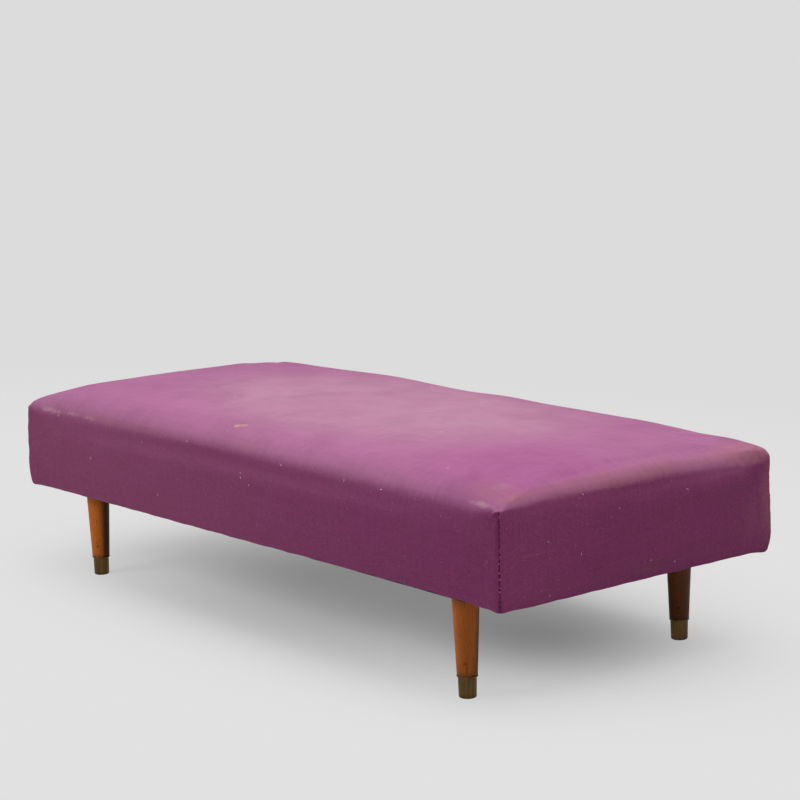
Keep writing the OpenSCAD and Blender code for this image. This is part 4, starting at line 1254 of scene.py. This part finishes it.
def makeRoll(node):
    # one stuffed roll, drawn in by its twine every third ring
    low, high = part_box(node)
    axis = 0 if high[0] - low[0] > high[1] - low[1] else 1
    other = 1 - axis
    halfAcross, halfHigh = (high[other] - low[other]) / 2, (high[2] - low[2]) / 2
    section = roundedOutline(halfAcross, halfHigh, rolls["radius"], 4)
    steps = int((high[axis] - low[axis]) / rolls["cell"])
    points = []
    for k, along in enumerate(np.linspace(low[axis], high[axis], steps + 1)):
        tight = 1 - rolls["tightening"] * (0.5 + 0.5 * math.cos(2 * math.pi * k / 3))
        for a, z in section:
            across = (low[other] + high[other]) / 2 + a * tight
            points.append(placeAlong(axis, along, across, (low[2] + high[2]) / 2 + z * tight))
    faces = tubeFaces(steps + 1, len(section))
    return points, faces if axis == 0 else [face[::-1] for face in faces]


def makeRolls():
    nodes = ["edge_roll_" + side for side in ("front", "back", "left", "right")]
    parts = [makeRoll(node) for node in nodes]
    piece = addPiece("edgeRolls", parts, materials["rollHessian"], "hessian", *nodes)


hessian = {"cellsX": 70, "cellsY": 30, "thickness": 0.0008, "lift": 0.0002, "sag": 0.0002}


def makeHessian():
    low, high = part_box("hessian")
    cellsX, cellsY = hessian["cellsX"], hessian["cellsY"]
    points, faces = [], []
    for level in (0, 1):
        for y in np.linspace(low[1], high[1], cellsY + 1):
            for x in np.linspace(low[0], high[0], cellsX + 1):
                free = min(1.0, min(high[0] - abs(x), high[1] - abs(y)) / 0.02)
                sag = hessian["sag"] * math.sin(53 * x) * math.sin(61 * y) * free
                points.append((x, y, low[2] + hessian["lift"] + sag + level * hessian["thickness"]))
    row, layer = cellsX + 1, (cellsX + 1) * (cellsY + 1)
    for a in (j * row + i for j in range(cellsY) for i in range(cellsX)):
        faces.append((a, a + row, a + row + 1, a + 1))
        faces.append((layer + a, layer + a + 1, layer + a + row + 1, layer + a + row))
    rim = list(range(row)) + [j * row + cellsX for j in range(1, cellsY + 1)]
    rim += [cellsY * row + i for i in range(cellsX - 1, -1, -1)]
    rim += [j * row for j in range(cellsY - 1, 0, -1)]
    for a, b in zip(rim, rim[1:] + rim[:1]):
        faces.append((a, b, layer + b, layer + a))
    piece = addPiece("hessianCloth", [(points, faces)], materials["hessian"], "hessian", "hessian")


makeWadding()
makeStuffing()
makeRolls()
makeHessian()
print("soft layers ready")


# Springs, lashings and webbing

springs = {
    "endRadius": 0.040, "waistRadius": 0.026, "wire": 0.0018, "turns": 5.5, "flat": 0.8,
    "stepsPerTurn": 26, "sides": 8,
}
lashing = {
    "radius": 0.0014, "sides": 9, "twist": 900.0, "ripple": 0.10, "gap": 0.0001, "tail": 0.0004,
    "cell": 0.006,
}
webbing = {
    "half": 0.0249, "thickness": 0.0018, "cell": 0.004, "gap": 0.0001, "cadThickness": 0.002,
    "edge": 0.00012, "ripple": 0.00008, "ripplePitch": 0.0028,
    "shares": (-1.0, -0.94, -0.86, -0.45, 0.0, 0.45, 0.86, 0.94, 1.0),
}


def boxMiddle(node):
    return [(low + high) / 2 for low, high in zip(*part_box(node))]


def columnPlaces():
    # places along X of the springs of one row, read from the ends of the CAD's cross lashings
    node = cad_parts["lashing_cross"]
    xs = np.unique([round(vertex.co[0], 3) for vertex in node.data.vertices])
    groups = np.split(xs, np.nonzero(np.diff(xs) > 0.02)[0] + 1)
    return [(group[0] + group[-1]) / 2 for group in groups]


def springRoute(x, y, low, high):
    wire, turns = springs["wire"], springs["turns"]
    route = []
    for t in np.linspace(0, 1, int(turns * springs["stepsPerTurn"]) + 1):
        bow = abs(2 * t - 1) ** 1.6
        radius = springs["waistRadius"] + (springs["endRadius"] - springs["waistRadius"]) * bow
        rise = t - springs["flat"] * math.sin(2 * math.pi * t) / (2 * math.pi)
        angle = 2 * math.pi * turns * t
        z = low + wire + rise * (high - low - 2 * wire)
        route.append((x + radius * math.cos(angle), y + radius * math.sin(angle), z))
    return route


def makeLashings(name, node, axis, places):
    # each cord runs up from one rail, across the spring tops, and down the other rail
    low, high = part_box(node)
    top = high[2] - lashing["radius"] - lashing["gap"]
    reach = high[axis] - lashing["radius"] - lashing["gap"]
    end = low[2] + lashing["tail"]
    parts = []
    for place in places:
        turns = [
            placeAlong(axis, along, place, z)
            for along, z in ((-reach, end), (-reach, top), (reach, top), (reach, end))
        ]
        fine = []
        for first, second in zip(turns, turns[1:]):
            steps = max(2, int(math.dist(first, second) / lashing["cell"]))
            fine += [[f + (s - f) * k / steps for f, s in zip(first, second)] for k in range(steps)]
        fine.append(turns[-1])
        parts.append(tubeMesh(
            smoothRoute(fine, 1), lashing["radius"], lashing["sides"], lashing["twist"], lashing["ripple"]))
    addPiece(name, parts, materials["juteCord"], "lashing_cord", node)


def crossWebHeights(stations):
    # the cross webs lie flat under the rails and springs
    return np.full(len(stations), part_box("webbing_cross")[0][2])


def longWebHeights(stations):
    # the long webs lie under the rails and boards, and over the cross webs between them
    rail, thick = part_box("rail_right")[0][0], webbing["cadThickness"]
    boardStart, boardEnd = (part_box("leg_board_right")[k][0] for k in (0, 1))
    ramp = 3 * thick
    places = (0.0, boardStart - ramp, boardStart, boardEnd, boardEnd + ramp, rail - ramp, rail)
    heights = (thick, thick, 0.0, 0.0, thick, thick, 0.0)
    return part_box("webbing_long")[0][2] + np.interp(np.abs(stations), places, heights)


def makeWebbing(name, node, axis, places, heightsOf):
    # woven bands with thicker edges
    low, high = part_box(node)
    wide, parts = len(webbing["shares"]), []
    stations = np.arange(low[axis], high[axis] + 0.001, webbing["cell"])
    stations[-1] = high[axis]
    last = (len(stations) - 1) * 2 * wide
    for place in places:
        points, faces = [], []
        for a, z in zip(stations, heightsOf(stations)):
            for level, share in itertools.product((0, 1), webbing["shares"]):
                thin = webbing["edge"] * (1 - 2 * level) if abs(share) < 0.9 else 0.0
                ripple = webbing["ripple"] * math.sin(a / webbing["ripplePitch"] * math.pi + 9 * share)
                height = z + webbing["gap"] + level * webbing["thickness"] + thin + ripple
                points.append(placeAlong(axis, a, place + share * webbing["half"], height))
        for a in range(0, last, 2 * wide):
            b = a + 2 * wide
            for s in range(wide - 1):
                faces.append((a + s, a + s + 1, b + s + 1, b + s))
                faces.append((a + wide + s, b + wide + s, b + wide + s + 1, a + wide + s + 1))
            faces.append((a, b, b + wide, a + wide))
            faces.append((a + wide - 1, b - 1, b + 2 * wide - 1, b + wide - 1))
        for s in range(wide - 1):
            faces.append((s, wide + s, wide + s + 1, s + 1))
            faces.append((last + s, last + s + 1, last + wide + s + 1, last + wide + s))
        parts.append((points, faces if axis == 0 else [face[::-1] for face in faces]))
    addPiece(name, parts, materials["juteWebbing"], "webbing", node)


columns = columnPlaces()
rows = {row: boxMiddle("springs_" + row)[1] for row in ("front", "middle", "back")}
for row, y in rows.items():
    low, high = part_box("springs_" + row)
    routes = [springRoute(x, y, low[2], high[2]) for x in columns]
    coils = [tubeMesh(route, springs["wire"], springs["sides"]) for route in routes]
    addPiece("springCoils_" + row, coils, materials["springWire"], "spring_steel", "springs_" + row)
makeLashings("cordsLong", "lashing_long", 0, rows.values())
makeLashings("cordsCross", "lashing_cross", 1, columns)
makeWebbing("websCross", "webbing_cross", 1, columns, crossWebHeights)
makeWebbing("websLong", "webbing_long", 0, rows.values(), longWebHeights)
print("springs, lashings and webbing ready")


# Dust cover under the frame

dust = {
    "corner": 0.048, "hole": 0.0292, "holeSides": 40, "thickness": 0.0006, "cell": 0.03,
    "tackLine": 0.020, "sagReach": 0.12, "sag": 0.0040, "slack": 0.0030, "ripple": 0.00018,
    "legLift": 0.002, "legReach": 0.03,
}
legPlaces = {corner: boxMiddle("leg_" + corner)[:2] for corner in corners}


def dustSheet(build, low, high):
    # a flat sheet with round corners, cut round the legs and divided into small cells
    edges = []
    loops = [roundedOutline(high[0], high[1], dust["corner"], 8)]
    for x, y in legPlaces.values():
        angles = [-2 * math.pi * k / dust["holeSides"] for k in range(dust["holeSides"])]
        loops.append([(x + dust["hole"] * math.cos(a), y + dust["hole"] * math.sin(a)) for a in angles])
    for loop in loops:
        made = [build.verts.new((x, y, high[2] - 0.0001)) for x, y in loop]
        edges += [build.edges.new(pair) for pair in zip(made, made[1:] + made[:1])]
    bmesh.ops.triangle_fill(build, use_beauty=True, use_dissolve=False, edges=edges)
    for axis in (0, 1):
        for k in range(1, int(2 * high[axis] / dust["cell"])):
            geometry = build.verts[:] + build.edges[:] + build.faces[:]
            point = placeAlong(axis, -high[axis] + dust["cell"] * k, 0.0, 0.0)
            bmesh.ops.bisect_plane(
                build, geom=geometry, plane_co=point, plane_no=placeAlong(axis, 1.0, 0.0, 0.0))
    for face in build.faces:
        if face.normal.z > 0:
            face.normal_flip()


def makeDustCover():
    low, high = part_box("dust_cover")
    build = bmesh.new()
    dustSheet(build, low, high)
    for vertex in build.verts:
        x, y, _ = vertex.co
        edge = min(high[0] - abs(x), high[1] - abs(y))
        free = float(smooth((edge - dust["tackLine"]) / dust["sagReach"]))
        slack = 0.5 + 0.5 * math.sin(11 * x + 1) * math.sin(9 * y + 2)
        ripple = dust["ripple"] * math.sin(70 * x) * math.sin(55 * y + 1)
        vertex.co.z -= free * (dust["sag"] + dust["slack"] * slack) + abs(ripple)
        for legX, legY in legPlaces.values():
            away = math.hypot(x - legX, y - legY) - dust["hole"]
            vertex.co.z += dust["legLift"] * math.exp(-(away / dust["legReach"]) ** 2) * free
    mesh = bpy.data.meshes.new("dustCloth")
    build.to_mesh(mesh)
    build.free()
    mesh.materials.append(materials["dustCloth"])
    piece = addObject("dustCloth", mesh)
    thicken(piece, dust["thickness"])
    standFor(piece, "dust_cloth", "dust_cover")


makeDustCover()
print("dust cover ready")


# Finishes of the CAD's own solids

def paint(material, *nodes):
    for node in nodes:
        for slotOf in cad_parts[node].material_slots:
            slotOf.material = material


agedBrass = makeBrass()
for corner, centre in legPlaces.items():
    paint(makeLegWood(corner, centre), "leg_" + corner)
    paint(agedBrass, "ferrule_" + corner)
    paint(frameWoods["z"], "corner_block_" + corner)
    paint(materials["fittingSteel"], "leg_bolt_" + corner, "tee_nut_" + corner)
paint(frameWoods["x"], "rail_front", "rail_back")
paint(frameWoods["y"], "rail_left", "rail_right", "leg_board_left", "leg_board_right", "centre_stretcher")
paint(materials["fittingSteel"], "rail_screws", "board_screws", "stretcher_screws", "block_screws")
paint(materials["blueTacks"], "cover_tacks", "dust_cover_tacks", "webbing_tacks")
print("CAD pieces finished")


# Stage: pale paper floor, seen through from below so that the underside can be looked at

stageSet = {
    "floor": 0.70, "near": 0.752, "back": 0.712, "width": 40.0, "depth": 60.0,
    # the shadow under the object: where it lies, how wide it is, and its darkest place
    "middle": (-0.05, 0.08, 0.0), "narrowing": (0.665, 1.13, 0.0), "fill": 0.31,
    "deep": (0.50, 0.10, 0.0), "deepReach": 0.36, "deepShare": 0.65,
}


def backdropShare(tree):
    # 1 for rays that look at the background: from the camera, a gloss or a glass
    path = put(tree, "LightPath").outputs
    seen = calc(tree, "MAXIMUM", path["Is Camera Ray"], path["Is Glossy Ray"])
    return calc(tree, "MAXIMUM", seen, path["Is Transmission Ray"])


def makeStage():
    material, tree, place = newMaterial("stagePaper")
    beside = vectorCalc(tree, "SUBTRACT", place, stageSet["middle"])
    away = lengthOf(tree, vectorCalc(tree, "MULTIPLY", beside, stageSet["narrowing"]))
    fromDeep = lengthOf(tree, vectorCalc(tree, "SUBTRACT", place, stageSet["deep"]))
    lit = times(tree, remap(tree, away, 0.12, 0.98, stageSet["fill"], 1.0),
                remap(tree, fromDeep, 0.0, stageSet["deepReach"], stageSet["deepShare"], 1.0))
    tone = remap(tree, away, 1.3, 3.4, stageSet["near"], stageSet["back"])
    paper = put(tree, "BsdfDiffuse", {"Color": (stageSet["floor"],) * 3 + (1.0,), "Roughness": 0.5})
    seen = put(tree, "Emission", {"Color": greyOf(tree, tone), "Strength": 1.0})
    share = times(tree, backdropShare(tree), lit)
    above = put(tree, "MixShader", {0: share, 1: paper.outputs[0], 2: seen.outputs[0]}).outputs[0]
    below = put(tree, "BsdfTransparent").outputs[0]
    under = put(tree, "NewGeometry").outputs["Backfacing"]
    mixed = put(tree, "MixShader", {0: under, 1: above, 2: below})
    put(tree, "OutputMaterial", {0: mixed.outputs[0]})
    w, d = stageSet["width"] / 2, stageSet["depth"] / 2
    points = [(-w, -d, 0), (w, -d, 0), (w, d, 0), (-w, d, 0)]
    meshObject("stageFloor", points, [(0, 1, 2, 3)], material, soft=False)


makeStage()


# Light: a faint even sky and five soft panels, of which those overhead and to the left lead

sky = {"strength": 0.04}
panels = {
    "overhead": {"place": (0.2, 0.2, 3.4), "size": (3.2, 2.6), "watts": 93.0},
    "left": {"place": (-1.10, -3.38, 2.48), "size": (2.2, 1.3), "watts": 50.0},
    "farLeft": {"place": (-3.2, -0.86, 2.84), "size": (2.4, 1.2), "watts": 8.0},
    "front": {"place": (1.60, -3.40, 2.30), "size": (2.2, 1.4), "watts": 14.0},
    "right": {"place": (2.24, 0.0, 3.57), "size": (2.0, 1.2), "watts": 30.0},
}
panelAim = (0.0, 0.0, 0.25)


def addPanel(name, settings):
    lamp = bpy.data.lights.new(name + "Panel", "AREA")
    lamp.shape = "RECTANGLE"
    lamp.size, lamp.size_y = settings["size"]
    lamp.energy = settings["watts"]
    made = addObject(name + "Panel", lamp)
    made.location = settings["place"]
    direction = Vector(panelAim) - Vector(settings["place"])
    made.rotation_euler = direction.to_track_quat("-Z", "Y").to_euler()


def makeSky():
    world = bpy.data.worlds.new("sky")
    world.use_nodes = True
    tree = world.node_tree
    tree.nodes.clear()
    light = put(tree, "Background", {"Color": (1.0, 1.0, 1.0, 1.0), "Strength": sky["strength"]})
    seen = put(tree, "Background", {"Color": (stageSet["back"],) * 3 + (1.0,), "Strength": 1.0})
    mixed = put(tree, "MixShader", {0: backdropShare(tree), 1: light.outputs[0], 2: seen.outputs[0]})
    put(tree, "OutputWorld", {0: mixed.outputs[0]})
    bpy.context.scene.world = world


for name, settings in panels.items():
    addPanel(name, settings)
makeSky()
print("stage and light ready")


# Camera at the photograph's view

view = {
    "azimuth": 51.4287, "pitch": 9.5697, "roll": -1.5405,
    "place": (3.7688, -2.9026, 1.2706), "lens": 96.724, "sensor": 36.0,
}


def makeCamera():
    azimuth, pitch, roll = (math.radians(view[key]) for key in ("azimuth", "pitch", "roll"))
    forward = Vector((
        -math.sin(azimuth) * math.cos(pitch), math.cos(azimuth) * math.cos(pitch), -math.sin(pitch),
    ))
    level = Vector((math.cos(azimuth), math.sin(azimuth), 0.0))
    upright = level.cross(forward)
    right = level * math.cos(roll) + upright * math.sin(roll)
    up = upright * math.cos(roll) - level * math.sin(roll)
    data = bpy.data.cameras.new("camera")
    data.lens = view["lens"]
    data.sensor_width = view["sensor"]
    camera = addObject("camera", data)
    turn = Matrix((right, up, -forward)).transposed().to_4x4()
    camera.matrix_world = Matrix.Translation(view["place"]) @ turn
    bpy.context.scene.camera = camera


makeCamera()
bpy.context.scene.view_settings.view_transform = "Standard"
